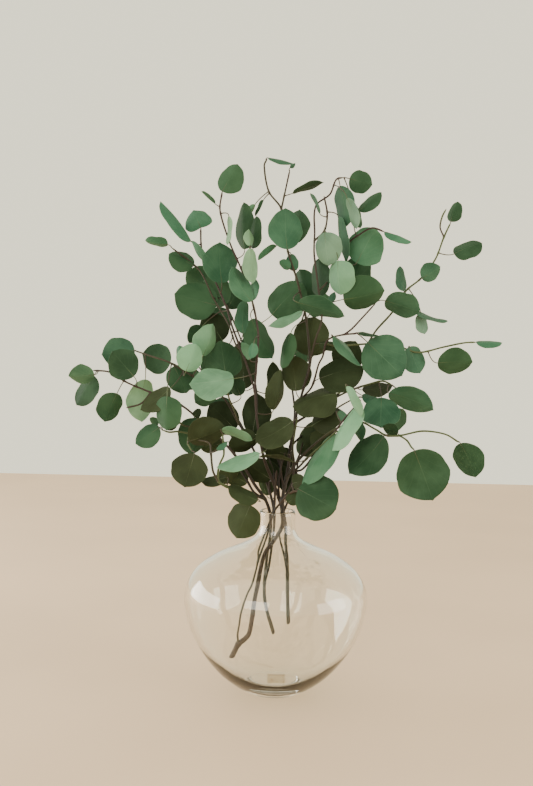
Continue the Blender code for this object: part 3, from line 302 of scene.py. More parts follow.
# Leaves of each branch: base x, z, tip x, z, width as sighted, depth at the base, the side the blade
# turns to (1 away from the viewer, -1 towards), and the tone.
LEAVES: dict[str, tuple[LeafRow, ...]] = {
    "branch_left": (
        (-20.25, 34.4, -23, 34.2, 2, -1.6, 1, Tone.BRIGHT),
        (-20.3, 34.3, -22.1, 31.1, 2.2, 0.4, -1, Tone.DEEP),
        (-15.9, 37.1, -19.4, 36.6, 3.5, 1.6, 1, Tone.MID),
        (-15.95, 34.3, -18.3, 36.9, 3.4, -1, -1, Tone.DEEP),
        (-12, 35.9, -15, 36.7, 3.4, 1.2, 1, Tone.DEEP),
        (-14.7, 34, -15, 29.45, 3, 1.4, 1, Tone.LIGHT),
        (-12, 33.1, -15.1, 30.7, 2, -1.9, -1, Tone.OLIVE),
        (-17.75, 32.4, -19, 29.35, 2.6, 0, 1, Tone.DEEP),
        (-13.1, 28.8, -15.6, 27, 2.3, -1.5, -1, Tone.DEEP),
        (-13.3, 29, -14.1, 29.8, 0.8, -0.4, 1, Tone.DEEP),
        (-12.3, 32.2, -12.3, 28.6, 2.8, -3.4, -1, Tone.DEEP),
        (-11.2, 29.2, -12.7, 28.9, 1.3, -0.6, 1, Tone.DARK),
        (-11.1, 31.4, -12.3, 32.25, 0.5, -0.7, -1, Tone.MID),
        (-9, 29.9, -9.6, 26, 3.4, 1, 1, Tone.DEEP),
        (-9.8, 27.4, -6, 29, 3, -3.2, -1, Tone.OLIVE),
        (-9.3, 30, -8.7, 30.9, 0.9, -1, 1, Tone.DARK),
        (-4.8, 28.8, -7.6, 31.4, 3.6, 4.2, 1, Tone.DARK),
        (-2.9, 28.3, -2.5, 32.7, 3.3, 4.2, 1, Tone.DARK),
        (-6.3, 28.7, -3, 27.65, 1, -4.3, -1, Tone.PALE),
        (-6.8, 26.5, -5.7, 27.3, 0.6, -4.8, 1, Tone.MID),
        (-9.2, 26, -10.2, 22.4, 3.9, -4, -1, Tone.OLIVE),
        (-5.7, 23.5, -8.3, 22.9, 1.2, -2.6, -1, Tone.OLIVE),
        (-3.4, 22.9, -6.2, 24.3, 2.4, 1.4, 1, Tone.DARK),
        (-2.2, 21, -5.4, 22.5, 1.7, -3.8, -1, Tone.OLIVE),
        (-3, 20.5, -4.4, 16.9, 3.6, -2.6, -1, Tone.OLIVE),
        (-10.3, 35, -9.3, 37.9, 2.7, -3, -1, Tone.PALE),
        (-10.8, 35.85, -11.1, 37.7, 1.2, -1.2, 1, Tone.MID),
        (-11.6, 35.5, -10.2, 32.7, 3, 0.2, 1, Tone.DEEP),
        (-8.5, 36.7, -7.5, 40.1, 2.3, -1.2, -1, Tone.PALE),
        (-5.9, 34.35, -6.6, 38.3, 4.2, -0.9, 1, Tone.DEEP),
        (-4.3, 32.5, -5.2, 34.4, 1.8, 0.9, 1, Tone.DEEP),
        (-0.8, 23.4, -3.6, 25.2, 2.6, -0.1, 1, Tone.DARK),
        (-0.2, 22.9, -2, 25.6, 2, 2.8, 1, Tone.DARK),
        (-5.4, 30.6, -7.4, 31.6, 2.6, 6.8, 1, Tone.DEEP),
        (-6.4, 32.6, -5.2, 35, 2.8, 8.8, 1, Tone.DEEP),
        (-8, 34.6, -6.9, 37.2, 3, 10.8, -1, Tone.DEEP),
        (-8.6, 34.6, -10.8, 33.5, 2.6, 11.2, 1, Tone.DEEP),
        (-7.2, 33, -9.2, 31.6, 2.6, 9.4, 1, Tone.DEEP),
        (-6.4, 28.3, -8.2, 29.6, 2.4, 7.2, 1, Tone.DEEP),
        (-4.7, 25, -5.9, 22.8, 2, -0.2, 1, Tone.OLIVE),
        (-6.2, 27.3, -8.4, 26.5, 1.9, 2.6, 1, Tone.DARK),
        (-2.4, 28, -5.4, 26.6, 2.4, 1.5, 1, Tone.DARK),
        (-1.2, 21.6, -1.8, 24, 1.6, 2.6, 1, Tone.DARK),
    ),
    "branch_middle": (
        (-6.4, 38.4, -8.3, 41.2, 3.4, 2.4, 1, Tone.DARK),
        (-8.6, 39.9, -10, 38.1, 1.7, 0.6, 1, Tone.DEEP),
        (-5.1, 34.3, -9.8, 33.6, 3.2, -5, -1, Tone.PALE),
        (-4, 33.2, -4.5, 38.2, 3, 3.2, 1, Tone.DARK),
        (-4.2, 39.2, -4.1, 42.8, 1.5, -2, -1, Tone.MID),
        (-3.4, 36.4, -4.3, 38.2, 1, -3.2, 1, Tone.BRIGHT),
        (-2.1, 26.2, -6.65, 24.6, 1.5, -5.8, -1, Tone.PALE),
        (-3.3, 40.8, -1, 36.7, 2.8, -0.6, 1, Tone.DEEP),
        (-3, 38.2, -3.3, 36.6, 1, -4.4, -1, Tone.MID),
        (-6.75, 54.4, -5.2, 57.3, 2.6, -0.4, 1, Tone.DEEP),
        (-7.5, 53.1, -8.95, 54.35, 0.35, -0.3, 1, Tone.DEEP),
        (-10, 49, -13.3, 53.1, 1, 0.2, -1, Tone.MID),
        (-9, 50.5, -9.8, 52.3, 3, 0.3, 1, Tone.MID),
        (-8.4, 46.85, -9.9, 49, 0.8, -0.8, 1, Tone.MID),
        (-4.2, 48.3, -4.4, 53.2, 2.2, 0.4, 1, Tone.DEEP),
        (-3.3, 48.4, -3, 51.8, 1.4, -1.4, 1, Tone.DEEP),
        (-3.6, 48.65, -3.8, 50.4, 0.95, -2.2, -1, Tone.LIGHT),
        (-3.55, 48.4, -3.3, 44.7, 1.6, -2.8, 1, Tone.LIGHT),
        (-6, 51.8, -6.1, 48.8, 0.55, -1.2, -1, Tone.LIGHT),
        (-6.6, 44.6, -6.9, 48.9, 3.7, -0.8, -1, Tone.MID),
        (-3.35, 42.7, -5.5, 46.3, 2, -3.2, -1, Tone.BRIGHT),
        (-3.3, 42.8, -3.1, 45.2, 0.9, -1.6, 1, Tone.MID),
        (-6.2, 42.2, -8.4, 45, 3, 3, 1, Tone.DEEP),
        (-7.1, 42.2, -11.6, 43.3, 4.1, 1.2, -1, Tone.DEEP),
        (-7.2, 43.6, -10.4, 45.6, 3.4, 4.8, 1, Tone.DEEP),
        (-9.7, 46.4, -12.3, 47.6, 2.2, 1.6, -1, Tone.DEEP),
        (-12.5, 48.6, -14.9, 49, 1.05, 1.6, 1, Tone.MID),
        (-1.1, 41.3, 2.1, 44.7, 4, 1.2, 1, Tone.DEEP),
        (-0.7, 31, 0, 35.3, 1.8, -1, -1, Tone.OLIVE),
        (-3.4, 35.8, -5.2, 37.6, 2.8, 6.2, 1, Tone.DEEP),
        (-5.4, 40.8, -7.9, 40.6, 3, 10.6, -1, Tone.DEEP),
        (-5.9, 41.9, -4.6, 44.4, 2.6, 11.8, 1, Tone.DEEP),
        (-7.2, 44.6, -9.2, 44.2, 3, 13.2, -1, Tone.DEEP),
        (-7.2, 45.2, -7, 47.4, 2.6, 14.4, 1, Tone.DEEP),
        (-3.9, 37.4, -2.3, 39.8, 2.4, 7.6, 1, Tone.DEEP),
        (-1.1, 33.1, -0.9, 36.2, 1.5, 2.6, 1, Tone.DARK),
        (0.7, 22, 1.5, 24.6, 2.4, 3.6, 1, Tone.DARK),
    ),
    "branch_right": (
        (-1.9, 58.1, 0.9, 57.5, 0.35, 0.1, 1, Tone.MID),
        (0.5, 57.1, 1, 57.6, 0.4, 1, 1, Tone.MID),
        (0.85, 54.4, 4.05, 55.6, 0.75, 0, -1, Tone.DEEP),
        (3.8, 52.3, 2.75, 54.4, 0.4, -0.8, 1, Tone.MID),
        (5.9, 55.3, 6.6, 51, 2.1, -0.8, -1, Tone.MID),
        (6.7, 54, 7.8, 50.8, 1.1, -2.6, -1, Tone.SILVER),
        (7.4, 53.4, 8.2, 50.9, 1.3, 0.6, 1, Tone.DEEP),
        (6.9, 56.1, 9.3, 55.5, 2.5, -0.4, 1, Tone.DEEP),
        (8, 52.7, 10.3, 54.7, 1.3, 0.2, 1, Tone.DEEP),
        (7.9, 47.1, 9.8, 50.8, 4, -0.4, 1, Tone.BRIGHT),
        (10.8, 50.5, 13.7, 49.5, 0.7, -1.5, 1, Tone.MID),
        (6.6, 43.15, 10.9, 44.2, 3.5, -3, -1, Tone.DEEP),
        (7.5, 44.7, 8.6, 47.8, 3.3, 1.8, 1, Tone.DEEP),
        (5.9, 47.3, 6.3, 43.7, 2.8, -3.2, -1, Tone.PALE),
        (5.8, 52, 6.7, 47.3, 0.9, -0.6, -1, Tone.MID),
        (4.4, 50.3, 4.9, 46.8, 2.8, -2.6, -1, Tone.SILVER),
        (4, 43.4, 3.8, 47.4, 2.2, 0.4, 1, Tone.DEEP),
        (1.7, 42.7, 6.65, 41.35, 2, -2.8, -1, Tone.MID),
        (5, 42.7, 5.6, 43.9, 0.7, -1.6, 1, Tone.MID),
        (2.2, 41.75, -1.4, 40.1, 1, -1, -1, Tone.PALE),
        (0.4, 48.4, 0.1, 52.7, 3.6, -2.2, -1, Tone.MID),
        (0.6, 49, 1.6, 52.6, 2.6, 1.4, 1, Tone.DEEP),
        (0.8, 47.9, 1.4, 46.2, 1.3, -0.2, 1, Tone.MID),
        (0.7, 46.3, -0.4, 47.1, 1, -0.8, 1, Tone.MID),
        (-0.8, 48.75, -2.7, 47.2, 0.65, -1.5, 1, Tone.MID),
        (-3.2, 53.1, -4.1, 51.7, 0.6, 0.6, 1, Tone.PALE),
        (-2.3, 53.6, -3.1, 51.9, 0.3, 0.4, 1, Tone.DEEP),
        (2.9, 42.8, 1.8, 46.2, 2.6, 3.2, 1, Tone.DEEP),
        (17.95, 51.75, 18.6, 53.85, 1.5, 0, 1, Tone.DEEP),
        (18.4, 48.3, 21.3, 49.5, 2, 0.6, 1, Tone.DEEP),
        (15, 45.6, 16.9, 46.9, 2, 0.2, -1, Tone.MID),
        (13.1, 44.2, 12.6, 46.8, 1.15, 0.8, -1, Tone.MID),
        (11.1, 43.1, 14.8, 42, 2.7, -0.6, -1, Tone.MID),
        (14.2, 42.1, 17.85, 41.05, 0.5, 0.7, 1, Tone.MID),
        (15, 41.9, 15.5, 39.65, 1.35, 1.3, 1, Tone.SILVER),
        (1.4, 29.8, -2.5, 27.5, 3, -4.8, -1, Tone.OLIVE),
        (1.6, 25.35, -2.1, 25.8, 0.4, -2.9, 1, Tone.OLIVE),
        (0.9, 26.2, -1.8, 26.6, 1.2, 0.2, 1, Tone.DARK),
        (1.7, 33.1, 1.2, 36.9, 3.2, 1.4, 1, Tone.OLIVE),
        (1, 39.4, 0.1, 35.6, 1.5, -0.8, -1, Tone.DEEP),
        (2.9, 37, 3.5, 41.1, 4.1, 2, 1, Tone.OLIVE),
        (4.1, 38.3, 6.3, 38.1, 1, -1.2, 1, Tone.DARK),
        (6.1, 32.9, 1.5, 31.4, 3, -1.2, -1, Tone.OLIVE),
        (4.2, 34.5, 8.9, 35.8, 3.7, -0.2, 1, Tone.DARK),
        (6.6, 35.6, 8, 38.6, 3.4, 1.4, 1, Tone.DARK),
        (5.6, 39.15, 8.6, 36.05, 1, -3.6, 1, Tone.BRIGHT),
        (8.3, 39.6, 10.4, 39.35, 0.4, -2.4, 1, Tone.DEEP),
        (9.3, 38.6, 13.1, 35.1, 5, -2, -1, Tone.MID),
        (13.9, 38.2, 15.1, 35.4, 2.4, -0.4, 1, Tone.MID),
        (8.9, 33.4, 12.1, 33.9, 1.5, 1.4, 1, Tone.OLIVE),
        (11.8, 33.1, 16.6, 31.4, 2.6, -0.6, -1, Tone.MID),
        (8.9, 32.8, 10.9, 32.1, 1.1, 2, 1, Tone.MID),
        (17, 36.5, 20.7, 36.7, 2.8, -0.4, -1, Tone.DEEP),
        (21.1, 38.85, 23.85, 38.85, 0.75, -0.4, 1, Tone.MID),
        (2.2, 26.2, 4.1, 29.8, 2.8, 2.4, 1, Tone.DARK),
        (6.2, 28.5, 2.7, 23.1, 2.2, -4.6, -1, Tone.BRIGHT),
        (8.6, 31.8, 5.9, 26.8, 1.7, -6.6, -1, Tone.PALE),
        (7.15, 33.7, 8.8, 30.5, 0.9, -8, -1, Tone.PALE),
        (3.6, 29.4, 6.8, 31, 2.6, -0.4, 1, Tone.OLIVE),
        (2.2, 22.4, 6.3, 20.3, 5, -5, -1, Tone.DEEP),
        (8.3, 30.2, 8.9, 27.8, 1.1, -3.8, -1, Tone.MID),
        (6.3, 30.9, 7.4, 30.1, 1, -3.4, 1, Tone.BRIGHT),
        (11, 32.6, 11, 29.4, 4.3, 0, -1, Tone.MID),
        (12.9, 28.7, 11.3, 29.5, 1.2, -4.8, 1, Tone.DEEP),
        (11.4, 28.4, 7.8, 24.3, 3.6, -5.4, -1, Tone.DEEP),
        (14.75, 26.9, 16.9, 21.6, 5.4, -10.4, -1, Tone.DEEP),
        (19.75, 27.8, 21.5, 24.2, 3, -5.6, -1, Tone.DEEP),
        (1.6, 23, 3, 23.4, 1.9, -3.4, 1, Tone.OLIVE),
        (1.1, 20.8, 2.2, 21.9, 1.5, -3.4, 1, Tone.DARK),
        (1.4, 37.2, 3.8, 38.4, 3, 9.2, 1, Tone.DEEP),
        (2.6, 42, 5, 43.4, 3, 12.2, 1, Tone.DEEP),
        (4.4, 47.6, 4.8, 49.8, 2.6, 14.2, -1, Tone.DEEP),
        (9.8, 37.4, 11.2, 38.6, 2.2, 8.2, -1, Tone.DEEP),
        (11, 37.2, 12.8, 36.8, 2, 11.8, -1, Tone.DEEP),
        (3.4, 29, 3.6, 26.8, 2.2, 5.4, 1, Tone.DEEP),
        (7.4, 33.8, 6.2, 36, 2.6, 11.8, 1, Tone.DEEP),
        (9.9, 32, 11.8, 30.8, 2.6, 13.2, -1, Tone.DEEP),
        (1.7, 25.1, -1.4, 26.3, 2.5, 2.8, 1, Tone.DARK),
        (0.6, 22.4, 0, 25, 2.1, 2.4, 1, Tone.DARK),
        (5.7, 29.3, 4, 26.4, 2.4, 1.2, 1, Tone.DARK),
        (13.4, 31.4, 12.2, 28.9, 2.2, 1.6, 1, Tone.DEEP),
        (0.6, 26.2, -1.9, 27.1, 1.6, 1, 1, Tone.DARK),
    ),
}


def linear(colour: Colour) -> tuple[float, float, float, float]:
    """Turn a colour of 0 to 255 into the renderer's linear values.

    Args:
        colour: Red, green and blue as a screen shows them.

    Returns:
        Linear red, green and blue, with a full alpha.
    """
    shares = [part / 255 for part in colour]
    return (*(s / 12.92 if s <= 0.04045 else ((s + 0.055) / 1.055) ** 2.4 for s in shares), 1.0)


def placed(x: float, z: float, y: float) -> Vector:
    """Take a sighted point out to its depth.

    Args:
        x: Sighted distance right of the vase's axis, in centimetres.
        z: Sighted height, in centimetres.
        y: Depth behind the upright plane through the axis, in centimetres.

    Returns:
        The point in the row frame.
    """
    sighted = Vector((x * CM, 0.0, z * CM))
    return EYE + (sighted - EYE) * ((y * CM - EYE.y) / -EYE.y)


def vary(number: float, kind: float) -> float:
    """A steady value from -1 to 1 that differs from leaf to leaf and from kind to kind."""
    return math.sin(number * NUMBER_TURN + kind * KIND_TURN)


def smooth_step(low: float, high: float, value: float) -> float:
    """Rise smoothly from 0 at low to 1 at high."""
    share = min(1.0, max(0.0, (value - low) / (high - low)))
    return share * share * (3 - 2 * share)


def new_object(name: str, bm: bmesh.types.BMesh, materials: Sequence[bpy.types.Material]) -> bpy.types.Object:
    """Store a bmesh as an object of the scene.

    Args:
        name: The object's name.
        bm: The mesh, which is freed.
        materials: The finishes, in the order of the faces' material numbers.

    Returns:
        The new object, at the origin.
    """
    mesh = bpy.data.meshes.new(name)
    bm.to_mesh(mesh)
    bm.free()
    for material in materials:
        mesh.materials.append(material)
    made = bpy.data.objects.new(name, mesh)
    bpy.context.scene.collection.objects.link(made)
    return made


def settled(obj: bpy.types.Object) -> None:
    """Replace an object's live modifiers by the mesh that they make.

    Args:
        obj: The object.
    """
    graph = bpy.context.evaluated_depsgraph_get()
    shown = obj.evaluated_get(graph)
    mesh = bpy.data.meshes.new_from_object(shown, preserve_all_data_layers=True, depsgraph=graph)
    obj.modifiers.clear()
    obj.data = mesh


def smoothed(obj: bpy.types.Object, degrees: float) -> None:
    """Shade an object smooth, apart from edges sharper than an angle."""
    obj.data.shade_smooth()
    obj.data.set_sharp_from_angle(angle=math.radians(degrees))


def hand_over(piece: bpy.types.Object, node: str) -> None:
    """Let a piece ride on the row's body in place of a CAD node, which is hidden.

    Args:
        piece: The finished piece.
        node: The CAD node that it stands for.
    """
    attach(piece, BODY)
    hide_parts(node)
    faces = len(piece.data.polygons)
    LOG.info("%s: %d faces, stands for %s", piece.name, faces, node)


class NodeSheet:
    """The node tree of one material or node group, with short calls for the nodes used here."""

    def __init__(self, tree: bpy.types.NodeTree) -> None:
        """Keep the tree."""
        self.tree = tree

    def add(self, kind: str, **settings: object) -> bpy.types.Node:
        """Add a node.

        Args:
            kind: The node's type without the ShaderNode in front.
            **settings: Properties of the node.

        Returns:
            The new node.
        """
        node = self.tree.nodes.new("ShaderNode" + kind)
        for name, value in settings.items():
            setattr(node, name, value)
        return node

    def feed(self, socket: bpy.types.NodeSocket, value: object) -> None:
        """Link an output to a socket, or set the socket's own value.

        Args:
            socket: The input to feed.
            value: An output, or a plain value.
        """
        if isinstance(value, bpy.types.NodeSocket):
            self.tree.links.new(value, socket)
        else:
            socket.default_value = value

    def maths(self, operation: str, *values: object) -> bpy.types.NodeSocket:
        """Add a Math node.

        Args:
            operation: What the node works out.
            *values: Its inputs, each an output or a number.

        Returns:
            The node's output.
        """
        node = self.add("Math", operation=operation)
        for socket, value in zip(node.inputs, values):
            self.feed(socket, value)
        return node.outputs[0]

    def ramp(
        self, value: object, low: object, high: object, start: float = 0.0, end: float = 1.0,
    ) -> bpy.types.NodeSocket:
        """Rise smoothly from start to end while a value goes from low to high.

        Args:
            value: What is followed.
            low: The value where the rise begins.
            high: The value where it ends.
            start: The result up to low.
            end: The result from high on.

        Returns:
            The node's output.
        """
        node = self.add("MapRange", interpolation_type="SMOOTHSTEP")
        for socket, given in zip(node.inputs, (value, low, high, start, end)):
            self.feed(socket, given)
        return node.outputs[0]

    def noise(
        self, where: object, scale: float, detail: float = 3.0, rough: float = 0.5,
    ) -> bpy.types.NodeSocket:
        """Add a Noise Texture.

        Args:
            where: The place on the surface.
            scale: How fine the pattern is.
            detail: How many finer layers it has.
            rough: How strong the finer layers are.

        Returns:
            Its value from 0 to 1.
        """
        node = self.add("TexNoise")
        self.feed(node.inputs["Vector"], where)
        self.feed(node.inputs["Scale"], scale)
        self.feed(node.inputs["Detail"], detail)
        self.feed(node.inputs["Roughness"], rough)
        return node.outputs[0]

    def mix(self, share: object, first: object, second: object) -> bpy.types.NodeSocket:
        """Mix two colours.

        Args:
            share: How much of the second colour shows.
            first: The first colour.
            second: The second colour.

        Returns:
            The mixed colour.
        """
        node = self.add("Mix", data_type="RGBA")
        self.feed(node.inputs["Factor"], share)
        self.feed(node.inputs["A"], first)
        self.feed(node.inputs["B"], second)
        return node.outputs["Result"]

    def group(self, tree: bpy.types.NodeTree, **inputs: object) -> bpy.types.Node:
        """Place a node group and feed its named inputs.

        Args:
            tree: The group.
            **inputs: What its inputs get, by their names in small letters.

        Returns:
            The group's node.
        """
        node = self.add("Group", node_tree=tree)
        for name, value in inputs.items():
            self.feed(node.inputs[name.title()], value)
        return node

    def tint(self, base: object, share: object, amount: float, colour: Colour) -> bpy.types.NodeSocket:
        """Lay a colour over a base.

        Args:
            base: The colour underneath.
            share: A pattern from 0 to 1.
            amount: How much of the new colour shows where the pattern is 1.
            colour: The new colour.

        Returns:
            The mixed colour.
        """
        return self.mix(self.maths("MULTIPLY", share, amount), base, linear(colour))

    def emboss(self, shader: bpy.types.Node, height: object, strength: float, depth_mm: float) -> None:
        """Give a shader's surface a relief from a height pattern.

        Args:
            shader: The Principled shader.
            height: The pattern, highest where the surface stands out.
            strength: How much of the relief shows.
            depth_mm: How deep the relief is.
        """
        bump = self.add("Bump")
        bump.inputs["Strength"].default_value = strength
        bump.inputs["Distance"].default_value = depth_mm * MM
        self.feed(bump.inputs["Height"], height)
        self.feed(shader.inputs["Normal"], bump.outputs[0])


def shaded(colour: Colour, share: float, lift: float = 0.0) -> Colour:
    """Darken or lighten a colour by a share, and lift it by a part of 255."""
    return tuple(min(255.0, part * share + lift) for part in colour)


def new_group(
    name: str, inputs: dict[str, float | None], outputs: Sequence[str],
) -> tuple[NodeSheet, bpy.types.Node, bpy.types.Node]:
    """Start a shader node group.

    Args:
        name: The group's name.
        inputs: Each input's name and usual value; a None value makes a vector input.
        outputs: The outputs' names, each a value.

    Returns:
        The group's sheet, its input node and its output node.
    """
    tree = bpy.data.node_groups.new(name, "ShaderNodeTree")
    for title, value in inputs.items():
        kind = "NodeSocketVector" if value is None else "NodeSocketFloat"
        socket = tree.interface.new_socket(title, in_out="INPUT", socket_type=kind)
        if value is not None:
            socket.default_value = value
    for title in outputs:
        tree.interface.new_socket(title, in_out="OUTPUT", socket_type="NodeSocketFloat")
    sheet = NodeSheet(tree)
    return sheet, tree.nodes.new("NodeGroupInput"), tree.nodes.new("NodeGroupOutput")


def vein_group() -> bpy.types.NodeTree:
    """Midrib, side veins and edge of a leaf, from its place across and along the blade.

    Returns:
        The leaf_veins group.
    """
    wanted = {"Across": 0.5, "Along": 0.5, "Pairs": 7.0, "Slant": 0.45}
    rib_half, rib_taper, rib_core = 0.034, -0.022, 0.4
    vein_bow, swing_beat, swing_reach = 0.85, 9.0, 0.012
    vein_line, vein_end = (0.86, 0.99), (0.82, 0.93)
    margin_place, margin_half, margin_share = 0.87, 0.02, 0.6
    edge_band = (0.955, 0.985)
    sheet, given, made = new_group("leaf_veins", wanted, ("Rib", "Vein", "Edge"))
    put = sheet.maths
    along = given.outputs["Along"]
    off = put("MULTIPLY", put("ABSOLUTE", put("SUBTRACT", given.outputs["Across"], 0.5)), 2.0)
    half_rib = put("MULTIPLY_ADD", along, rib_taper, rib_half)
    rib = sheet.ramp(off, put("MULTIPLY", half_rib, rib_core), half_rib, 1.0, 0.0)
    lean = put("MULTIPLY", put("POWER", off, vein_bow), given.outputs["Slant"])
    swing = put("MULTIPLY", put("SINE", put("MULTIPLY", off, swing_beat)), swing_reach)
    phase = put("MULTIPLY", put("ADD", put("SUBTRACT", along, lean), swing), given.outputs["Pairs"])
    near = put("MULTIPLY", put("ABSOLUTE", put("SUBTRACT", put("FRACT", phase), 0.5)), 2.0)
    line = put("MULTIPLY", sheet.ramp(near, *vein_line), sheet.ramp(off, *vein_end, 1.0, 0.0))
    from_margin = put("ABSOLUTE", put("SUBTRACT", off, margin_place))
    margin = put("MULTIPLY", sheet.ramp(from_margin, 0.0, margin_half, 1.0, 0.0), margin_share)
    sheet.feed(made.inputs["Rib"], rib)
    sheet.feed(made.inputs["Vein"], put("MAXIMUM", line, margin))
    sheet.feed(made.inputs["Edge"], sheet.ramp(off, *edge_band))
    return sheet.tree


def mottle_group() -> bpy.types.NodeTree:
    """Soft patches, fine specks and a grainy height, from a place on the surface.

    Returns:
        The mottle group.
    """
    patch_scale, patch_band = 45.0, (0.35, 0.68)
    speck_scale, speck_band = 900.0, (0.58, 0.72)
    grain_scale, grain_rough = 420.0, 0.6
    sheet, given, made = new_group("mottle", {"Place": None, "Scale": 1.0}, ("Patch", "Speck", "Height"))
    node = sheet.add("VectorMath", operation="SCALE")
    sheet.feed(node.inputs[0], given.outputs["Place"])
    sheet.feed(node.inputs["Scale"], given.outputs["Scale"])
    where = node.outputs[0]
    sheet.feed(made.inputs["Patch"], sheet.ramp(sheet.noise(where, patch_scale), *patch_band))
    sheet.feed(made.inputs["Speck"], sheet.ramp(sheet.noise(where, speck_scale, detail=2.0), *speck_band))
    sheet.feed(made.inputs["Height"], sheet.noise(where, grain_scale, detail=4.0, rough=grain_rough))
    return sheet.tree


def bark_group() -> bpy.types.NodeTree:
    """Lengthwise streaks and cross cracks of bark, from the turn round a shoot and the metres along it.

    Returns:
        The bark_grain group.
    """
    girth, stretch = 1.6, 70.0
    streak_scale, streak_band = 1.6, (0.3, 0.7)
    ring_scale, crack_band, crack_depth = 6.5, (0.56, 0.7), 0.35
    sheet, given, made = new_group("bark_grain", {"Around": 0.0, "Run": 0.0}, ("Streak", "Crack", "Height"))
    put = sheet.maths
    turn = put("MULTIPLY", given.outputs["Around"], math.tau)
    where = sheet.add("CombineXYZ")
    sheet.feed(where.inputs[0], put("MULTIPLY", put("COSINE", turn), girth))
    sheet.feed(where.inputs[1], put("MULTIPLY", put("SINE", turn), girth))
    sheet.feed(where.inputs[2], put("MULTIPLY", given.outputs["Run"], stretch))
    streak = sheet.noise(where.outputs[0], streak_scale, detail=5.0, rough=0.62)
    crack = sheet.ramp(sheet.noise(where.outputs[0], ring_scale, rough=0.7), *crack_band)
    sheet.feed(made.inputs["Streak"], sheet.ramp(streak, *streak_band))
    sheet.feed(made.inputs["Crack"], crack)
    sheet.feed(made.inputs["Height"], put("SUBTRACT", streak, put("MULTIPLY", crack, crack_depth)))
    return sheet.tree


def new_material(name: str) -> tuple[bpy.types.Material, NodeSheet, bpy.types.Node]:
    """Start a material.

    Args:
        name: The material's name.

    Returns:
        The material, its sheet, and its Principled shader.
    """
    made = bpy.data.materials.new(name)
    made.use_nodes = True
    return made, NodeSheet(made.node_tree), made.node_tree.nodes["Principled BSDF"]


@dataclass(frozen=True)
class LeafFinish:
    """Matt skin of one tone of leaf: the face that the viewer sees, and a greyer back."""

    face: Colour
    back: Colour
    rib: Colour
    bloom: Colour = (150, 176, 150)
    bloom_share: float = 0.10
    roughness: float = 0.62
    gloss: float = 0.25

    DARKEST, LIGHTEST, LIGHT_LIFT = 0.84, 1.13, 3.0
    LEAF_SHARE, PATCH_SHARE = 0.7, 0.3
    SPECK_SHARE, SPECK_SHADE = 0.10, 0.6
    VEIN_FACE, VEIN_BACK = 0.17, 0.26
    RIB_SHARE, EDGE_SHARE = 0.38, 0.35
    ROUGH_SPREAD = 0.12
    RIB_HEIGHT, VEIN_HEIGHT, GRAIN_HEIGHT = 0.8, 0.4, 0.5
    BUMP_STRENGTH, BUMP_MM = 0.45, 0.25

    def material(
        self, name: str, behind: bool, veins: bpy.types.NodeTree, mottle: bpy.types.NodeTree,
    ) -> bpy.types.Material:
        """Make the material of one side of the blade.

        Args:
            name: The material's name.
            behind: True for the back of the blade.
            veins: The leaf_veins group.
            mottle: The mottle group.

        Returns:
            The material.
        """
        made, sheet, shader = new_material(name)
        put = sheet.maths
        place = sheet.add("SeparateXYZ")
        sheet.feed(place.inputs[0], sheet.add("UVMap", uv_map="leaf_place").outputs[0])
        where = sheet.add("TexCoord").outputs["Object"]
        spots = sheet.group(mottle, place=where, scale=1.0)
        lines = sheet.group(veins, across=place.outputs[0], along=place.outputs[1])
        shade = sheet.add("Attribute", attribute_name="leaf_shade").outputs["Fac"]
        colour = self.back if behind else self.face
        dark = linear(shaded(colour, self.DARKEST))
        light = linear(shaded(colour, self.LIGHTEST, self.LIGHT_LIFT))
        patch = spots.outputs["Patch"]
        blend = put("ADD", put("MULTIPLY", shade, self.LEAF_SHARE), put("MULTIPLY", patch, self.PATCH_SHARE))
        base = sheet.mix(blend, dark, light)
        base = sheet.tint(base, patch, self.bloom_share, self.bloom)
        base = sheet.tint(base, spots.outputs["Speck"], self.SPECK_SHARE, shaded(colour, self.SPECK_SHADE))
        base = sheet.tint(base, lines.outputs["Vein"], self.VEIN_BACK if behind else self.VEIN_FACE, self.rib)
        base = sheet.tint(base, lines.outputs["Rib"], self.RIB_SHARE, self.rib)
        base = sheet.tint(base, lines.outputs["Edge"], self.EDGE_SHARE, self.rib)
        sheet.feed(shader.inputs["Base Color"], base)
        rough = put("MULTIPLY_ADD", patch, self.ROUGH_SPREAD, self.roughness - self.ROUGH_SPREAD / 2)
        sheet.feed(shader.inputs["Roughness"], rough)
        shader.inputs["Specular IOR Level"].default_value = self.gloss
        relief = put("MULTIPLY", spots.outputs["Height"], self.GRAIN_HEIGHT)
        for line, height in (("Rib", self.RIB_HEIGHT), ("Vein", self.VEIN_HEIGHT)):
            relief = put("MULTIPLY_ADD", lines.outputs[line], height, relief)
        sheet.emboss(shader, relief, self.BUMP_STRENGTH, self.BUMP_MM)
        return made


LEAF_FINISHES: dict[Tone, LeafFinish] = {
    # DARK is partly the leaves' own dark green and partly painted shade for leaves deep inside the bunch.
    Tone.DARK: LeafFinish((44, 54, 37), (48, 59, 42), (60, 70, 50), bloom_share=0.01, gloss=0.0),
    Tone.DEEP: LeafFinish((42, 70, 48), (50, 78, 57), (66, 92, 67), bloom_share=0.03, gloss=0.08),
    Tone.MID: LeafFinish((50, 91, 68), (59, 98, 75), (81, 117, 90), bloom_share=0.05, gloss=0.14),
    Tone.BRIGHT: LeafFinish((52, 94, 68), (60, 99, 76), (90, 126, 98), bloom_share=0.07),
    Tone.PALE: LeafFinish((94, 140, 108), (90, 133, 103), (128, 161, 132), bloom_share=0.10),
    # LIGHT is partly a pale underside and partly painted light shining through the thin blade.
    Tone.LIGHT: LeafFinish((126, 170, 132), (120, 160, 126), (148, 182, 152), bloom_share=0.12),
    Tone.SILVER: LeafFinish((92, 130, 106), (86, 122, 102), (128, 157, 134), bloom_share=0.14),
    Tone.OLIVE: LeafFinish((45, 54, 33), (52, 61, 41), (68, 77, 52), bloom_share=0.02, gloss=0.1),
}


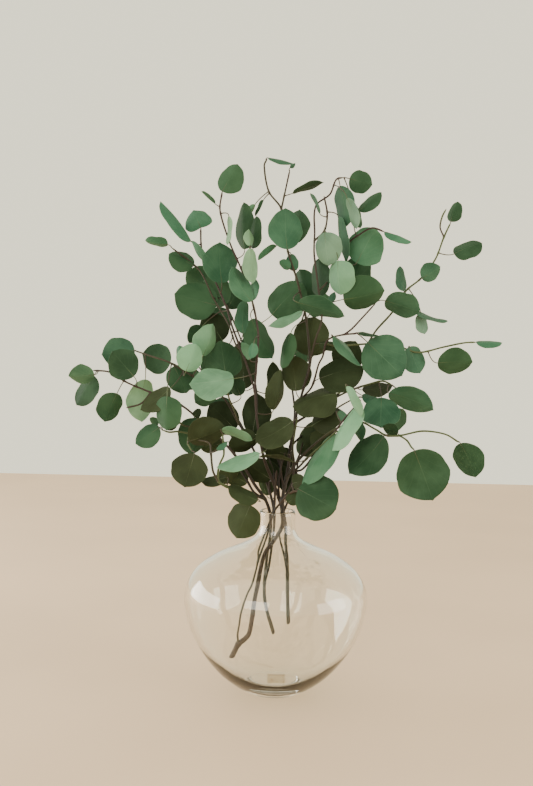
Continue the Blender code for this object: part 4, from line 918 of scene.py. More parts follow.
@dataclass(frozen=True)
class StalkFinish:
    """Leaf stalk, from the bark's colour at its root to the pale rib in the blade."""

    root: Colour = (54, 44, 34)
    blade: Colour = (72, 92, 52)
    roughness: float = 0.5

    TURN = (0.25, 0.75)
    PATCH_SHARE, PATCH_SHADE = 0.3, 0.7
    ROUGH_SPREAD = 0.2

    def material(self, name: str, mottle: bpy.types.NodeTree) -> bpy.types.Material:
        """Make the material, which reads the share of the way from root to tip.

        Args:
            name: The material's name.
            mottle: The mottle group.

        Returns:
            The material.
        """
        made, sheet, shader = new_material(name)
        run = sheet.add("Attribute", attribute_name="run").outputs["Fac"]
        where = sheet.add("TexCoord").outputs["Object"]
        spots = sheet.group(mottle, place=where, scale=3.0)
        base = sheet.mix(sheet.ramp(run, *self.TURN), linear(self.root), linear(self.blade))
        patch_colour = shaded(self.root, self.PATCH_SHADE)
        base = sheet.tint(base, spots.outputs["Patch"], self.PATCH_SHARE, patch_colour)
        sheet.feed(shader.inputs["Base Color"], base)
        least = self.roughness - self.ROUGH_SPREAD / 2
        rough = sheet.maths("MULTIPLY_ADD", spots.outputs["Height"], self.ROUGH_SPREAD, least)
        sheet.feed(shader.inputs["Roughness"], rough)
        return made


@dataclass(frozen=True)
class BarkFinish:
    """Streaked bark whose colour is painted along each shoot, darkened there by painted shade where the stems
    crowd in and above the neck.
    """

    crack: Colour = (58, 50, 40)
    dust: Colour = (124, 114, 96)
    roughness: float = 0.72
    gloss: float = 0.35

    DUST_SHARE, CRACK_SHARE = 0.13, 0.35
    ROUGH_SPREAD = 0.14
    BUMP_STRENGTH, BUMP_MM = 0.5, 0.2

    def material(self, name: str, grain: bpy.types.NodeTree) -> bpy.types.Material:
        """Make the material, which reads the painted colour with its painted shade, the turn and the metres
        along.

        Args:
            name: The material's name.
            grain: The bark_grain group.

        Returns:
            The material.
        """
        made, sheet, shader = new_material(name)
        paint = sheet.add("Attribute", attribute_name="bark_and_shade_colour").outputs["Color"]
        around = sheet.add("SeparateXYZ")
        sheet.feed(around.inputs[0], sheet.add("UVMap", uv_map="shoot_place").outputs[0])
        run = sheet.add("Attribute", attribute_name="run").outputs["Fac"]
        lines = sheet.group(grain, around=around.outputs[0], run=run)
        streak = lines.outputs["Streak"]
        base = sheet.tint(paint, streak, self.DUST_SHARE, self.dust)
        base = sheet.tint(base, lines.outputs["Crack"], self.CRACK_SHARE, self.crack)
        sheet.feed(shader.inputs["Base Color"], base)
        least = self.roughness - self.ROUGH_SPREAD / 2
        rough = sheet.maths("MULTIPLY_ADD", streak, self.ROUGH_SPREAD, least)
        sheet.feed(shader.inputs["Roughness"], rough)
        shader.inputs["Specular IOR Level"].default_value = self.gloss
        sheet.emboss(shader, lines.outputs["Height"], self.BUMP_STRENGTH, self.BUMP_MM)
        return made


@dataclass(frozen=True)
class CutFinish:
    """Pale end grain of a cut stem."""

    wood: Colour = (176, 156, 120)
    ring: Colour = (122, 98, 70)
    roughness: float = 0.85

    RING_SCALE, RING_BAND = 700.0, (0.4, 0.65)

    def material(self, name: str) -> bpy.types.Material:
        """Make the material, with fine rings from a noise.

        Args:
            name: The material's name.

        Returns:
            The material.
        """
        made, sheet, shader = new_material(name)
        where = sheet.add("TexCoord").outputs["Object"]
        rings = sheet.ramp(sheet.noise(where, self.RING_SCALE, detail=4.0, rough=0.6), *self.RING_BAND)
        sheet.feed(shader.inputs["Base Color"], sheet.mix(rings, linear(self.wood), linear(self.ring)))
        shader.inputs["Roughness"].default_value = self.roughness
        return made


@dataclass(frozen=True)
class GlassFinish:
    """Clear blown glass with a faint wave in its surface."""

    tint: Colour = (250, 251, 248)
    shade: Colour = (244, 245, 243)
    roughness: float = 0.0
    index: float = 1.45

    WAVE_SCALE = 14.0
    BUMP_STRENGTH, BUMP_MM = 0.12, 1.2

    def material(self, name: str) -> bpy.types.Material:
        """Make the material, which lets the light that falls on other things pass straight through.

        Args:
            name: The material's name.

        Returns:
            The material.
        """
        made, sheet, shader = new_material(name)
        shader.inputs["Base Color"].default_value = linear(self.tint)
        shader.inputs["Roughness"].default_value = self.roughness
        shader.inputs["IOR"].default_value = self.index
        shader.inputs["Transmission Weight"].default_value = 1.0
        where = sheet.add("TexCoord").outputs["Object"]
        wave = sheet.noise(where, self.WAVE_SCALE, detail=1.0)
        sheet.emboss(shader, wave, self.BUMP_STRENGTH, self.BUMP_MM)
        clear = sheet.add("BsdfTransparent")
        clear.inputs["Color"].default_value = linear(self.shade)
        light = sheet.add("LightPath")
        both = sheet.add("MixShader")
        indirect = sheet.maths("MAXIMUM", light.outputs["Is Shadow Ray"], light.outputs["Is Diffuse Ray"])
        for socket, value in zip(both.inputs, (indirect, shader.outputs[0], clear.outputs[0])):
            sheet.feed(socket, value)
        sheet.feed(sheet.tree.nodes["Material Output"].inputs["Surface"], both.outputs[0])
        return made


@dataclass(frozen=True)
class PaperFinish:
    """Blank tan paper with short fibres."""

    paper: Colour = (176, 130, 58)
    fibre: Colour = (136, 98, 44)
    roughness: float = 0.8

    PATCH_SHARE, FIBRE_SHARE = 0.4, 0.5
    BUMP_STRENGTH, BUMP_MM = 0.3, 0.1

    def material(self, name: str, mottle: bpy.types.NodeTree) -> bpy.types.Material:
        """Make the material.

        Args:
            name: The material's name.
            mottle: The mottle group.

        Returns:
            The material.
        """
        made, sheet, shader = new_material(name)
        where = sheet.add("TexCoord").outputs["Object"]
        spots = sheet.group(mottle, place=where, scale=2.0)
        base = sheet.tint(linear(self.paper), spots.outputs["Patch"], self.PATCH_SHARE, self.fibre)
        base = sheet.tint(base, spots.outputs["Speck"], self.FIBRE_SHARE, self.fibre)
        sheet.feed(shader.inputs["Base Color"], base)
        shader.inputs["Roughness"].default_value = self.roughness
        sheet.emboss(shader, spots.outputs["Height"], self.BUMP_STRENGTH, self.BUMP_MM)
        return made


@dataclass
class Curve:
    """A smooth line through its points."""

    points: list[Vector]

    PULL = 0.9

    def way(self, index: int) -> Vector:
        """The direction of the curve at one of its points.

        Args:
            index: The point's number.

        Returns:
            The direction, 1 long.
        """
        after = self.points[min(index + 1, len(self.points) - 1)]
        before = self.points[max(index - 1, 0)]
        return (after - before).normalized()

    def at(self, segment: int, share: float) -> Vector:
        """A place on the curve.

        Args:
            segment: The number of the stretch between two points.
            share: How far along that stretch, from 0 to 1.

        Returns:
            The point, on a smooth curve through all the points.
        """
        start, end = self.points[segment], self.points[segment + 1]
        pull = (end - start).length * self.PULL
        square, cube = share * share, share ** 3
        leaving = self.way(segment) * pull * (cube - 2 * square + share)
        arriving = self.way(segment + 1) * pull * (cube - square)
        return start * (2 * cube - 3 * square + 1) + leaving + end * (3 * square - 2 * cube) + arriving


@dataclass
class Tube:
    """A round length of wood or stalk, swept along stations of place and radius."""

    stations: list[tuple[Vector, float]]
    sides: int
    slant: float = 0.0

    def frames(self) -> list[tuple[Vector, Vector, Vector]]:
        """How the tube lies at each station, turned as little as can be from one to the next.

        Returns:
            For each station, the direction along and two directions across.
        """
        spots = [spot for spot, _ in self.stations]
        count = len(spots)
        ways = [(spots[min(i + 1, count - 1)] - spots[max(i - 1, 0)]).normalized() for i in range(count)]
        side = ways[0].orthogonal().normalized()
        made = []
        for index, way in enumerate(ways):
            if index:
                side = ways[index - 1].rotation_difference(way) @ side
                side = (side - way * side.dot(way)).normalized()
            made.append((way, side, way.cross(side)))
        return made

    def add_to(
        self, bm: bmesh.types.BMesh, material: int, dress: Callable[[bmesh.types.BMVert, int], None],
    ) -> None:
        """Build the tube in a bmesh.

        A flat grid is rolled round the stations, its long seam is merged and its ends are closed.

        Args:
            bm: The mesh to build in.
            material: The material number of the faces.
            dress: Called with each vertex and its station's number, to set the vertex's layers.
        """
        rows = len(self.stations)
        grid = bmesh.ops.create_grid(bm, x_segments=self.sides, y_segments=rows - 1, size=0.5, calc_uvs=True)
        frames = self.frames()
        for vert in grid["verts"]:
            index = round((vert.co.y + 0.5) * (rows - 1))
            turn = (vert.co.x + 0.5) * math.tau
            spot, radius = self.stations[index]
            way, side, other = frames[index]
            vert.co = spot + (side * math.cos(turn) + other * math.sin(turn)) * radius
            if index == 0:
                vert.co += way * (self.slant * radius * math.cos(turn))
            dress(vert, index)
        faces = {face for vert in grid["verts"] for face in vert.link_faces}
        for face in faces:
            face.material_index = material
            face.smooth = True
        bmesh.ops.remove_doubles(bm, verts=grid["verts"], dist=MERGE_REACH)
        left = [vert for vert in grid["verts"] if vert.is_valid]
        rims = list({edge for vert in left for edge in vert.link_edges if edge.is_boundary})
        caps = bmesh.ops.holes_fill(bm, edges=rims, sides=0)["faces"]
        for cap in caps:
            cap.material_index = material
        whole = list({face for vert in left for face in vert.link_faces})
        bmesh.ops.recalc_face_normals(bm, faces=whole)


@dataclass
class Shoot(Curve):
    """One length of wood, curved through its points and tapering to its tip."""

    root_mm: float
    tip_mm: float
    root_bark: Bark
    tip_bark: Bark

    # NECK, YOUNG_BARK and the CROWD bands are where a change begins and ends, in metres or shares.
    STEP = 2.6 * MM
    TAPER = 0.7
    JOINT_SWELL, JOINT_REACH = 0.30, 1.8 * MM
    KNOBBLE = 0.05
    TIP_SHARE, TIP_REACH = 0.35, 4 * MM
    NECK = (0.17, 0.205)
    FOOT_SHARE = 1.16
    YOUNG_BARK = (0.15, 0.85)
    # Painted shade: the bark darkens towards this near-black brown where the stems crowd in and above the
    # neck, most near the middle and less for stems in front.
    CROWD_SHADE_COLOUR = (24, 16, 13)
    CROWD_SHADE_SHARE = 0.9
    CROWD_FOOT = (0.165, 0.2)
    CROWD_SHADE_TOP = (0.34, 0.44)
    CROWD_SHADE_SIDE = (0.04, 0.09)
    CROWD_SHADE_FRONT = (-0.03, -0.012)
    CROWD_SWELL, SWELL_TOP = 0.35, (0.23, 0.3)
    THICK_MM, THICK_SIDES, THIN_SIDES = 2.5, 14, 10
    CUT_SLANT = 0.7

    @classmethod
    def from_row(cls, row: ShootRow) -> "Shoot":
        """Make a shoot from its table row."""
        root, tip, root_bark, tip_bark, points = row
        return cls([placed(*point) for point in points], root, tip, root_bark, tip_bark)

    def girth(self, share: float, spot: Vector) -> float:
        """The radius at a share of the length, thicker at the foot and in the crowd above the neck.

        Args:
            share: The share of the shoot's length.
            spot: The place there.

        Returns:
            The radius in metres.
        """
        radius = self.root_mm + (self.tip_mm - self.root_mm) * share ** self.TAPER
        foot = self.FOOT_SHARE + (1 - self.FOOT_SHARE) * smooth_step(*self.NECK, spot.z)
        crowd = smooth_step(*self.CROWD_FOOT, spot.z) * (1 - smooth_step(*self.SWELL_TOP, spot.z))
        return radius * foot * (1 + self.CROWD_SWELL * crowd) * MM

    def stations(self, joints: Sequence[Vector]) -> list[tuple[Vector, float]]:
        """Places and radii along the curve, swollen at the joints where something grows from it.

        Args:
            joints: The places where stalks and other shoots leave it.

        Returns:
            The places and radii, from the root to the tip.
        """
        made = []
        last = len(self.points) - 2
        for segment in range(last + 1):
            length = (self.points[segment + 1] - self.points[segment]).length
            steps = max(2, round(length / self.STEP))
            for step in range(steps + (segment == last)):
                spot = self.at(segment, step / steps)
                made.append((spot, self.girth((segment + step / steps) / (last + 1), spot)))
        end = made[-1][0]
        dressed = []
        for index, (spot, radius) in enumerate(made):
            near = min(((spot - joint).length for joint in joints), default=1.0)
            swell = 1 + self.JOINT_SWELL * math.exp(-(near / self.JOINT_REACH) ** 2)
            knobble = 1 + self.KNOBBLE * vary(index, self.root_mm + self.points[0].x / CM)
            full = math.sqrt(min(1.0, (spot - end).length / self.TIP_REACH))
            bud = self.TIP_SHARE + (1 - self.TIP_SHARE) * full
            dressed.append((spot, radius * swell * knobble * bud))
        return dressed

    def build(self, bm: bmesh.types.BMesh, joints: Sequence[Vector], cut: bool) -> None:
        """Add the shoot to a branch's wood.

        Args:
            bm: The wood's mesh.
            joints: The places where stalks and other shoots leave it.
            cut: True for the main shoot, whose lower end is cut aslant.
        """
        stations = self.stations(joints)
        run = bm.verts.layers.float["run"]
        paint = bm.verts.layers.float_color["bark_and_shade_colour"]
        first, last = linear(self.root_bark.value), linear(self.tip_bark.value)
        crowd_shade = linear(self.CROWD_SHADE_COLOUR)
        count = len(stations) - 1

        def dress(vert: bmesh.types.BMVert, index: int) -> None:
            """Set how far along the vertex is, and the bark's colour there, with painted shade where the
            stems crowd in and above the neck.

            Args:
                vert: The vertex.
                index: Its station's number.
            """
            spot = stations[index][0]
            in_vase = self.points[0].z < self.NECK[0]
            young = smooth_step(*self.YOUNG_BARK, index / count)
            blend = smooth_step(*self.NECK, spot.z) if in_vase else young
            # Painted shade on the crowded stems in and above the neck, fading to the sides, upwards and
            # towards the front.
            crowd = smooth_step(*self.CROWD_FOOT, spot.z) * (1 - smooth_step(*self.CROWD_SHADE_TOP, spot.z))
            crowd *= 1 - smooth_step(*self.CROWD_SHADE_SIDE, abs(spot.x))
            crowd *= self.CROWD_SHADE_SHARE * smooth_step(*self.CROWD_SHADE_FRONT, spot.y)
            vert[run] = index * self.STEP + self.points[0].x
            colour = [a + (b - a) * blend for a, b in zip(first, last)]
            vert[paint] = [a + (b - a) * crowd for a, b in zip(colour, crowd_shade)]

        sides = self.THICK_SIDES if self.root_mm > self.THICK_MM else self.THIN_SIDES
        Tube(stations, sides, slant=self.CUT_SLANT if cut else 0.0).add_to(bm, 0, dress)


@dataclass
class Blade:
    """One round leaf on its stalk."""

    number: int
    row: LeafRow

    # Sizes are shares of the blade's length or width, and a spread is what may be added from leaf to leaf.
    COLUMNS, ROWS = 12, 18
    LEAST_WIDE, ROUNDNESS, MOST_TURNED = 0.62, 0.95, 1.6
    FOLD, FOLD_SPREAD, CREASE = 0.22, 0.16, 0.03
    CURL = 0.06
    PEAK, PEAK_SPREAD, PEAK_LEAN = 0.46, 0.05, 0.03
    FOOT_POWER, FOOT_SPREAD, FOOT_FULLNESS = 2.1, 0.3, 0.5
    TIP_POWER, TIP_SPREAD, TIP_FULLNESS, FULLNESS_SPREAD = 2.0, 0.4, 0.55, 0.10
    SKEW = 0.05
    LOBE, LOBE_BEAT, LOBE_SIDE, LOBE_LEAF = 0.035, 8.5, 3, 2.3
    RIPPLE, RIPPLE_BEAT = 0.018, 19
    WAVE, WAVE_SPREAD, WAVE_START = 0.045, 0.03, 0.25
    WAVE_BEAT, BEAT_SPREAD, WAVE_SIDE = 9, 3, 1.3
    POINT_SHARE, POINT_BAND = 0.03, (0.85, 1.0)
    STALK_RADIUS, STALK_TAPER, STALK_FLARE = 0.62 * MM, 0.25, 0.35
    STALK_BEND, FLARE_REACH = 0.4, 0.12
    STALK_STEP, STALK_SIDES, SHORTEST_STALK = 2.5 * MM, 6, 3 * MM
    RIB_END, RIB_REACH, RIB_STEPS, RIB_TAPER = 0.12 * MM, 0.72, 7, 0.6

    def __post_init__(self) -> None:
        """Work out where the blade starts, its directions and its size from the sighted row."""
        base_x, base_z, tip_x, tip_z, width, depth, side, self.tone = self.row
        seen = math.hypot(tip_x - base_x, tip_z - base_z)
        reach = math.sqrt(max(0.0, width * width - seen * seen)) * side
        self.base = placed(base_x, base_z, depth)
        tip = placed(tip_x, tip_z, depth + reach)
        self.length = (tip - self.base).length
        self.along = (tip - self.base) / self.length
        sight = ((self.base + tip) / 2 - EYE).normalized()
        across = self.along.cross(sight).normalized()
        facing = across.cross(self.along)
        turned = min(self.ROUNDNESS * seen, max(self.MOST_TURNED * width, self.LEAST_WIDE * seen))
        full = width if reach else max(turned, width)
        roll = side * math.acos(width / full)
        self.across = across * math.cos(roll) + facing * math.sin(roll)
        self.facing = self.across.cross(self.along)
        self.half = full * CM / 2
        self.fold = self.FOLD + self.FOLD_SPREAD * vary(self.number, Trait.FOLD)
        self.curl = self.length * self.CURL * vary(self.number, Trait.CURL)

    def half_width(self, along: float, side: float) -> float:
        """The blade's half width at one place.

        Args:
            along: The share of the length, from 0 at the stalk to 1 at the tip.
            side: The side of the rib, -1 or 1.

        Returns:
            The half width as a share of the widest.
        """
        peak = self.PEAK + self.PEAK_SPREAD * vary(self.number, Trait.PEAK)
        peak += self.PEAK_LEAN * side * vary(self.number, Trait.LEAN)
        if along < peak:
            off, fullness = (peak - along) / peak, self.FOOT_FULLNESS
            power = self.FOOT_POWER + self.FOOT_SPREAD * vary(self.number, Trait.FOOT)
        else:
            off = (along - peak) / (1 - peak)
            power = self.TIP_POWER + self.TIP_SPREAD * vary(self.number, Trait.TIP)
            fullness = self.TIP_FULLNESS + self.FULLNESS_SPREAD * vary(self.number, Trait.FULLNESS)
        skew = 1 + self.SKEW * side * vary(self.number, Trait.SKEW)
        phase = along * self.LOBE_BEAT + self.LOBE_SIDE * side + self.LOBE_LEAF * self.number
        lobe = self.LOBE * math.sin(phase)
        ripple = self.RIPPLE * math.sin(along * self.RIPPLE_BEAT + self.number + side)
        return max(0.0, 1 - off ** power) ** fullness * skew * (1 + lobe + ripple)

    def spot(self, across: float, along: float) -> Vector:
        """A place on the blade's middle surface.

        Args:
            across: From -1 at one edge to 1 at the other.
            along: From 0 at the stalk to 1 at the tip.

        Returns:
            The point in the row frame.
        """
        side = math.copysign(1.0, across)
        wide = self.half * self.half_width(along, side)
        least = math.sqrt(self.CREASE)
        rounded = (math.sqrt(across * across + self.CREASE) - least) / (math.sqrt(1 + self.CREASE) - least)
        rise = self.curl * 4 * along * (1 - along) + rounded * wide * self.fold
        beat = self.WAVE_BEAT + self.BEAT_SPREAD * vary(self.number, Trait.BEAT)
        wave = math.sin(along * beat + side * self.WAVE_SIDE + self.number) * across * across
        height = self.half * (self.WAVE + self.WAVE_SPREAD * vary(self.number, Trait.WAVE))
        rise += wave * height * smooth_step(0.0, self.WAVE_START, along)
        point = self.POINT_SHARE * self.length * (1 - abs(across)) * smooth_step(*self.POINT_BAND, along)
        flat = self.base + self.along * (along * self.length + point) + self.across * (across * wide)
        return flat + self.facing * rise

    def root(self, shoots: Sequence[Shoot]) -> Vector:
        """Where the stalk leaves the wood: near the blade's base, and behind it if there is such a place.

        Args:
            shoots: The branch's lengths of wood.

        Returns:
            The place in the row frame.
        """
        tenths = 10
        detour = 2.2
        best = None
        for shoot in shoots:
            for segment in range(len(shoot.points) - 1):
                for tenth in range(tenths + 1):
                    straight = shoot.points[segment].lerp(shoot.points[segment + 1], tenth / tenths)
                    gap = (self.base - straight).length
                    if gap < self.SHORTEST_STALK:
                        continue
                    cost = gap * (detour - self.along.dot(self.base - straight) / gap)
                    if best is None or cost < best[0]:
                        best = (cost, shoot.at(segment, tenth / tenths))
        return best[1]

    def stalk(self, root: Vector) -> list[tuple[Vector, float]]:
        """Stations of the stalk, which arches to the blade and runs on as its midrib.

        Args:
            root: Where the stalk leaves the wood.

        Returns:
            Places and radii, from the root to the end of the midrib.
        """
        gap = (self.base - root).length
        bend = self.base - self.along * max(self.STALK_BEND * gap, self.SHORTEST_STALK)
        steps = max(4, round(gap / self.STALK_STEP))
        made = []
        for step in range(steps):
            share = step / steps
            first, second = root.lerp(bend, share), bend.lerp(self.base, share)
            flare = self.STALK_FLARE * (1 - smooth_step(0.0, self.FLARE_REACH, share))
            radius = self.STALK_RADIUS * (1 - self.STALK_TAPER * share + flare)
            made.append((first.lerp(second, share), radius))
        top = self.STALK_RADIUS * (1 - self.STALK_TAPER)
        for step in range(self.RIB_STEPS + 1):
            share = step / self.RIB_STEPS
            radius = top + (self.RIB_END - top) * share ** self.RIB_TAPER
            made.append((self.spot(0.0, share * self.RIB_REACH), radius))
        return made

    def build_blade(self, bm: bmesh.types.BMesh) -> None:
        """Shape a flat grid into the blade, as a skin that gets its thickness later.

        Args:
            bm: The mesh of the leaves of one tone.
        """
        grid = bmesh.ops.create_grid(
            bm, x_segments=self.COLUMNS, y_segments=self.ROWS, size=0.5, calc_uvs=True,
        )
        shade = bm.verts.layers.float["leaf_shade"]
        value = 0.5 + 0.5 * vary(self.number, Trait.SHADE)
        for vert in grid["verts"]:
            across = vert.co.x * 2
            along = (1 - math.cos((vert.co.y + 0.5) * math.pi)) / 2
            vert.co = self.spot(across, along)
            vert[shade] = value
        faces = list({face for vert in grid["verts"] for face in vert.link_faces})
        bmesh.ops.reverse_faces(bm, faces=faces)
        bmesh.ops.remove_doubles(bm, verts=grid["verts"], dist=MERGE_REACH)

    def build_stalk(self, bm: bmesh.types.BMesh, root: Vector) -> None:
        """Add the stalk and midrib to the leaves' mesh.

        Args:
            bm: The leaves' mesh.
            root: Where the stalk leaves the wood.
        """
        stations = self.stalk(root)
        run = bm.verts.layers.float["run"]
        count = len(stations) - 1

        def dress(vert: bmesh.types.BMVert, index: int) -> None:
            """Set the share of the way along."""
            vert[run] = index / count

        Tube(stations, self.STALK_SIDES).add_to(bm, 2, dress)


@dataclass
class Branch:
    """One cut branch: its wood, and its leaves grouped by tone."""

    name: str
    blade_mm: float = 0.45

    WOOD_CREASE, LEAF_CREASE = 55, 60

    def __post_init__(self) -> None:
        """Read the branch's rows."""
        self.shoots = [Shoot.from_row(row) for row in WOOD[self.name]]
        self.blades = [Blade(number, row) for number, row in enumerate(LEAVES[self.name])]
        self.roots = [blade.root(self.shoots) for blade in self.blades]

    def build_wood(self, bark: bpy.types.Material, cut: bpy.types.Material) -> bpy.types.Object:
        """Build all the branch's lengths of wood as one piece.

        Args:
            bark: The bark's material.
            cut: The material of the cut end.

        Returns:
            The piece.
        """
        bm = bmesh.new()
        bm.verts.layers.float.new("run")
        bm.verts.layers.float_color.new("bark_and_shade_colour")
        bm.loops.layers.uv.new("shoot_place")
        joints = self.roots + [shoot.points[0] for shoot in self.shoots[1:]]
        for number, shoot in enumerate(self.shoots):
            shoot.build(bm, joints, cut=number == 0)
        end = self.shoots[0].points[0]
        bm.faces.ensure_lookup_table()
        caps = [face for face in bm.faces if len(face.verts) > 4]
        min(caps, key=lambda cap: (cap.calc_center_median() - end).length).material_index = 1
        made = new_object(self.name + "_wood", bm, (bark, cut))
        smoothed(made, self.WOOD_CREASE)
        return made

    def build_leaves(self, tone: Tone, materials: Sequence[bpy.types.Material]) -> bpy.types.Object | None:
        """Build the branch's leaves of one tone as one piece.

        Args:
            tone: The tone.
            materials: The finishes of the face, the back and the stalk.

        Returns:
            The piece, or None if the branch has no such leaf.
        """
        chosen = [(blade, root) for blade, root in zip(self.blades, self.roots) if blade.tone is tone]
        if not chosen:
            return None
        bm = bmesh.new()
        bm.verts.layers.float.new("leaf_shade")
        bm.loops.layers.uv.new("leaf_place")
        for blade, _ in chosen:
            blade.build_blade(bm)
        made = new_object(f"{self.name}_leaves_{tone.value}", bm, materials)
        thick = made.modifiers.new("thick", "SOLIDIFY")
        thick.thickness = self.blade_mm * MM
        thick.offset = 0.0
        thick.material_offset = 1
        settled(made)
        bm = bmesh.new()
        bm.from_mesh(made.data)
        bm.verts.layers.float.new("run")
        for blade, root in chosen:
            blade.build_stalk(bm, root)
        bm.to_mesh(made.data)
        bm.free()
        smoothed(made, self.LEAF_CREASE)
        return made


@dataclass
class Vase:
    """The blown glass vase, turned round its axis, with a shallow pocket under its base."""

    outer_mm: tuple[tuple[float, float], ...] = (
        (27.0, 0.0), (28.3, 1.0), (43.0, 8.0), (62.0, 23.0), (80.0, 45.0), (93.0, 70.0), (100.0, 100.0),
        (97.0, 120.0), (86.0, 136.0), (66.0, 149.5), (42.0, 160.3), (26.0, 169.0), (20.4, 178.0),
        (19.5, 198.2),
    )
    inner_mm: tuple[tuple[float, float], ...] = (
        (16.5, 198.2), (17.5, 177.3), (23.6, 167.2), (40.7, 157.6), (64.6, 146.9), (83.9, 133.8),
        (94.2, 118.9), (97.0, 100.0), (90.2, 71.2), (77.4, 46.8), (58.0, 25.6), (40.0, 14.5),
        (22.0, 11.2), (0.0, 10.6),
    )
    top_mm: float = 200.0
    foot_mm: float = 13.0
    steps: int = 128
    smooth: int = 5
    pocket_mm: tuple[float, float, float] = (21.4, 30.8, 0.6)
    label_centre_mm: tuple[float, float] = (3.0, -1.0)

    RIM_STEPS = 8
    CREASE = 35

    def curved(self, points: Sequence[tuple[float, float]]) -> list[Vector]:
        """A smooth line through points of radius and height.

        Args:
            points: Radii and heights in millimetres.

        Returns:
            Places along the line, in metres.
        """
        spots = [Vector((radius, 0.0, height)) * MM for radius, height in points]
        line = Curve(spots)
        made = []
        for segment in range(len(spots) - 1):
            made += [line.at(segment, step / self.smooth) for step in range(self.smooth)]
        return [*made, spots[-1]]

    def rim(self) -> list[Vector]:
        """The rounded rim, from the outer wall's top to the inner wall's.

        Returns:
            Places along it, in metres.
        """
        outer, inner = self.outer_mm[-1][0], self.inner_mm[0][0]
        middle, half = (outer + inner) / 2, (outer - inner) / 2
        height = self.outer_mm[-1][1]
        rise = self.top_mm - height
        turns = [math.pi * step / self.RIM_STEPS for step in range(1, self.RIM_STEPS)]
        return [
            Vector((middle + half * math.cos(turn), 0.0, height + rise * math.sin(turn))) * MM
            for turn in turns
        ]

    def build(self, glass: bpy.types.Material) -> bpy.types.Object:
        """Spin the profile, and sink the label's pocket into the base.

        Args:
            glass: The glass's material.

        Returns:
            The piece.
        """
        foot = [Vector((0.0, 0.0, 0.0)), Vector((self.foot_mm * MM, 0.0, 0.0))]
        profile = [*foot, *self.curved(self.outer_mm), *self.rim(), *self.curved(self.inner_mm)]
        bm = bmesh.new()
        verts = [bm.verts.new(spot) for spot in profile]
        edges = [bm.edges.new(pair) for pair in zip(verts, verts[1:])]
        bmesh.ops.spin(
            bm, geom=verts + edges, cent=(0.0, 0.0, 0.0), axis=(0.0, 0.0, 1.0), angle=math.tau,
            steps=self.steps, use_merge=True, use_duplicate=False,
        )
        bmesh.ops.remove_doubles(bm, verts=bm.verts[:], dist=0.2 * MERGE_REACH)
        bmesh.ops.recalc_face_normals(bm, faces=bm.faces[:])
        made = new_object("vase_glass", bm, (glass,))
        cutter = bmesh.new()
        bmesh.ops.create_cube(cutter, size=1.0)
        wide, deep, high = self.pocket_mm
        bmesh.ops.scale(cutter, vec=(wide * MM, deep * MM, 2 * high * MM), verts=cutter.verts[:])
        x, y = self.label_centre_mm
        bmesh.ops.translate(cutter, vec=(x * MM, y * MM, 0.0), verts=cutter.verts[:])
        block = new_object("pocket", cutter, ())
        change = made.modifiers.new("pocket", "BOOLEAN")
        change.operation = "DIFFERENCE"
        change.object = block
        change.solver = "EXACT"
        settled(made)
        bpy.data.objects.remove(block)
        smoothed(made, self.CREASE)
        return made


@dataclass
class BaseLabel:
    """Small blank paper label in the pocket under the base."""

    size_mm: tuple[float, float, float] = (20.6, 30.0, 0.3)
    centre_mm: tuple[float, float, float] = (3.0, -1.0, 0.15)
    corner_mm: float = 1.0

    CORNER_STEPS = 5
    CREASE = 35

    def build(self, paper: bpy.types.Material) -> bpy.types.Object:
        """Cut the label with rounded corners.

        Args:
            paper: The paper's material.

        Returns:
            The piece.
        """
        bm = bmesh.new()
        bmesh.ops.create_cube(bm, size=1.0)
        bmesh.ops.scale(bm, vec=[side * MM for side in self.size_mm], verts=bm.verts[:])
        upright = [edge for edge in bm.edges if abs(edge.verts[0].co.z - edge.verts[1].co.z) > 0.1 * MM]
        bmesh.ops.bevel(
            bm, geom=upright, offset=self.corner_mm * MM, offset_type="OFFSET", segments=self.CORNER_STEPS,
            profile=0.5, affect="EDGES", material=-1,
        )
        bmesh.ops.translate(bm, vec=[part * MM for part in self.centre_mm], verts=bm.verts[:])
        made = new_object("label_paper", bm, (paper,))
        smoothed(made, self.CREASE)
        return made


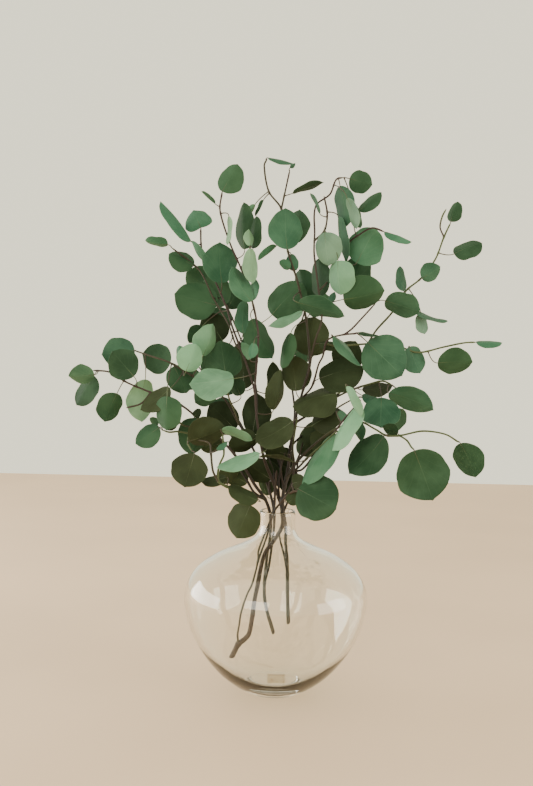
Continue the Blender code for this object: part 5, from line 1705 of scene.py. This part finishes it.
@dataclass
class Studio:
    """Pale floor, soft light and the camera at the photograph's viewing angle."""

    floor_wide: float = 12.0
    floor_front: float = -6.0
    floor_back: float = 1.71
    floor_colour: Colour = (224, 194, 164)
    air_colour: Colour = (220, 215, 190)
    air_strength: float = 2.1
    pitch: float = 3.3
    roll: float = 1.3
    lens: float = 50.0
    sensor: float = 36.0

    FLOOR_DROP = 0.2 * MM
    FLOOR_ROUGHNESS, FLOOR_SHADE, FLOOR_SCALE, FLOOR_BAND = 0.6, 0.97, 3.0, (0.3, 0.7)
    LAMP_AIM = Vector((0.0, 0.0, 0.25))
    LAMP_COLOUR = (255, 252, 246)
    # Each lamp's name, place, width and height in metres, and power in watts.
    LAMPS = (
        ("window_left", (-1.55, 0.35, 0.22), (1.7, 1.0), 46.0),
        ("window_right", (1.65, -0.5, 0.25), (1.3, 1.0), 22.0),
        ("window_front", (-0.9, -2.0, 1.0), (1.2, 1.0), 22.0),
    )

    def build_floor(self) -> None:
        """Lay the floor just under the vase."""
        bm = bmesh.new()
        deep = self.floor_back - self.floor_front
        bmesh.ops.create_grid(bm, x_segments=1, y_segments=1, size=0.5)
        bmesh.ops.scale(bm, vec=(self.floor_wide, deep, 1.0), verts=bm.verts[:])
        middle = self.floor_back - deep / 2
        bmesh.ops.translate(bm, vec=(0.0, middle, -self.FLOOR_DROP), verts=bm.verts[:])
        made, sheet, shader = new_material("floor")
        where = sheet.add("TexCoord").outputs["Object"]
        soft = sheet.ramp(sheet.noise(where, self.FLOOR_SCALE, detail=2.0), *self.FLOOR_BAND)
        light, dark = linear(self.floor_colour), linear(shaded(self.floor_colour, self.FLOOR_SHADE))
        sheet.feed(shader.inputs["Base Color"], sheet.mix(soft, light, dark))
        shader.inputs["Roughness"].default_value = self.FLOOR_ROUGHNESS
        new_object("floor", bm, (made,))

    def add_lamp(self, name: str, place: Place, size: tuple[float, float], power: float) -> None:
        """Hang a soft rectangular light that looks at the bunch.

        Args:
            name: The light's name.
            place: Where it hangs, in metres.
            size: Its width and height.
            power: Its power in watts.
        """
        lamp = bpy.data.lights.new(name, "AREA")
        lamp.shape = "RECTANGLE"
        lamp.size, lamp.size_y = size
        lamp.energy = power
        lamp.color = linear(self.LAMP_COLOUR)[:3]
        made = bpy.data.objects.new(name, lamp)
        made.location = place
        made.rotation_euler = (self.LAMP_AIM - Vector(place)).to_track_quat("-Z", "Y").to_euler()
        bpy.context.scene.collection.objects.link(made)

    def build_light(self) -> None:
        """Light the air softly, with a bright lamp on the left and two weaker ones."""
        world = bpy.data.worlds.new("air")
        world.use_nodes = True
        shader = world.node_tree.nodes["Background"]
        shader.inputs["Color"].default_value = linear(self.air_colour)
        shader.inputs["Strength"].default_value = self.air_strength
        bpy.context.scene.world = world
        for lamp in self.LAMPS:
            self.add_lamp(*lamp)

    def build_camera(self) -> None:
        """Set the camera where the photograph was taken from."""
        eye = bpy.data.cameras.new("camera")
        eye.lens = self.lens
        eye.sensor_width = self.sensor
        made = bpy.data.objects.new("camera", eye)
        tilt = Matrix.Rotation(math.pi / 2 - math.radians(self.pitch), 4, "X")
        turn = Matrix.Rotation(math.radians(self.roll), 4, "Z")
        made.matrix_world = Matrix.Translation(EYE) @ tilt @ turn
        bpy.context.scene.collection.objects.link(made)
        bpy.context.scene.camera = made


def main() -> None:
    """Build the studio and every piece, in order."""
    logging.basicConfig(level=logging.INFO, format="%(name)s: %(message)s")
    studio = Studio()
    studio.build_camera()
    studio.build_light()
    studio.build_floor()
    veins, mottle, grain = vein_group(), mottle_group(), bark_group()
    vase = Vase()
    hand_over(vase.build(GlassFinish().material("clear_glass")), "vase")
    hand_over(BaseLabel().build(PaperFinish().material("tan_paper", mottle)), "base_label")
    bark = BarkFinish().material("bark", grain)
    cut = CutFinish().material("cut_wood")
    stalk = StalkFinish().material("leaf_stalk", mottle)
    skins = {
        tone: [
            finish.material(f"leaf_{tone.value}_{side}", side == "back", veins, mottle)
            for side in ("face", "back")
        ]
        for tone, finish in LEAF_FINISHES.items()
    }
    for name in WOOD:
        branch = Branch(name)
        hand_over(branch.build_wood(bark, cut), name)
        for tone in Tone:
            leaves = branch.build_leaves(tone, [*skins[tone], stalk])
            if leaves is not None:
                hand_over(leaves, name)


if __name__ == "__main__":
    main()
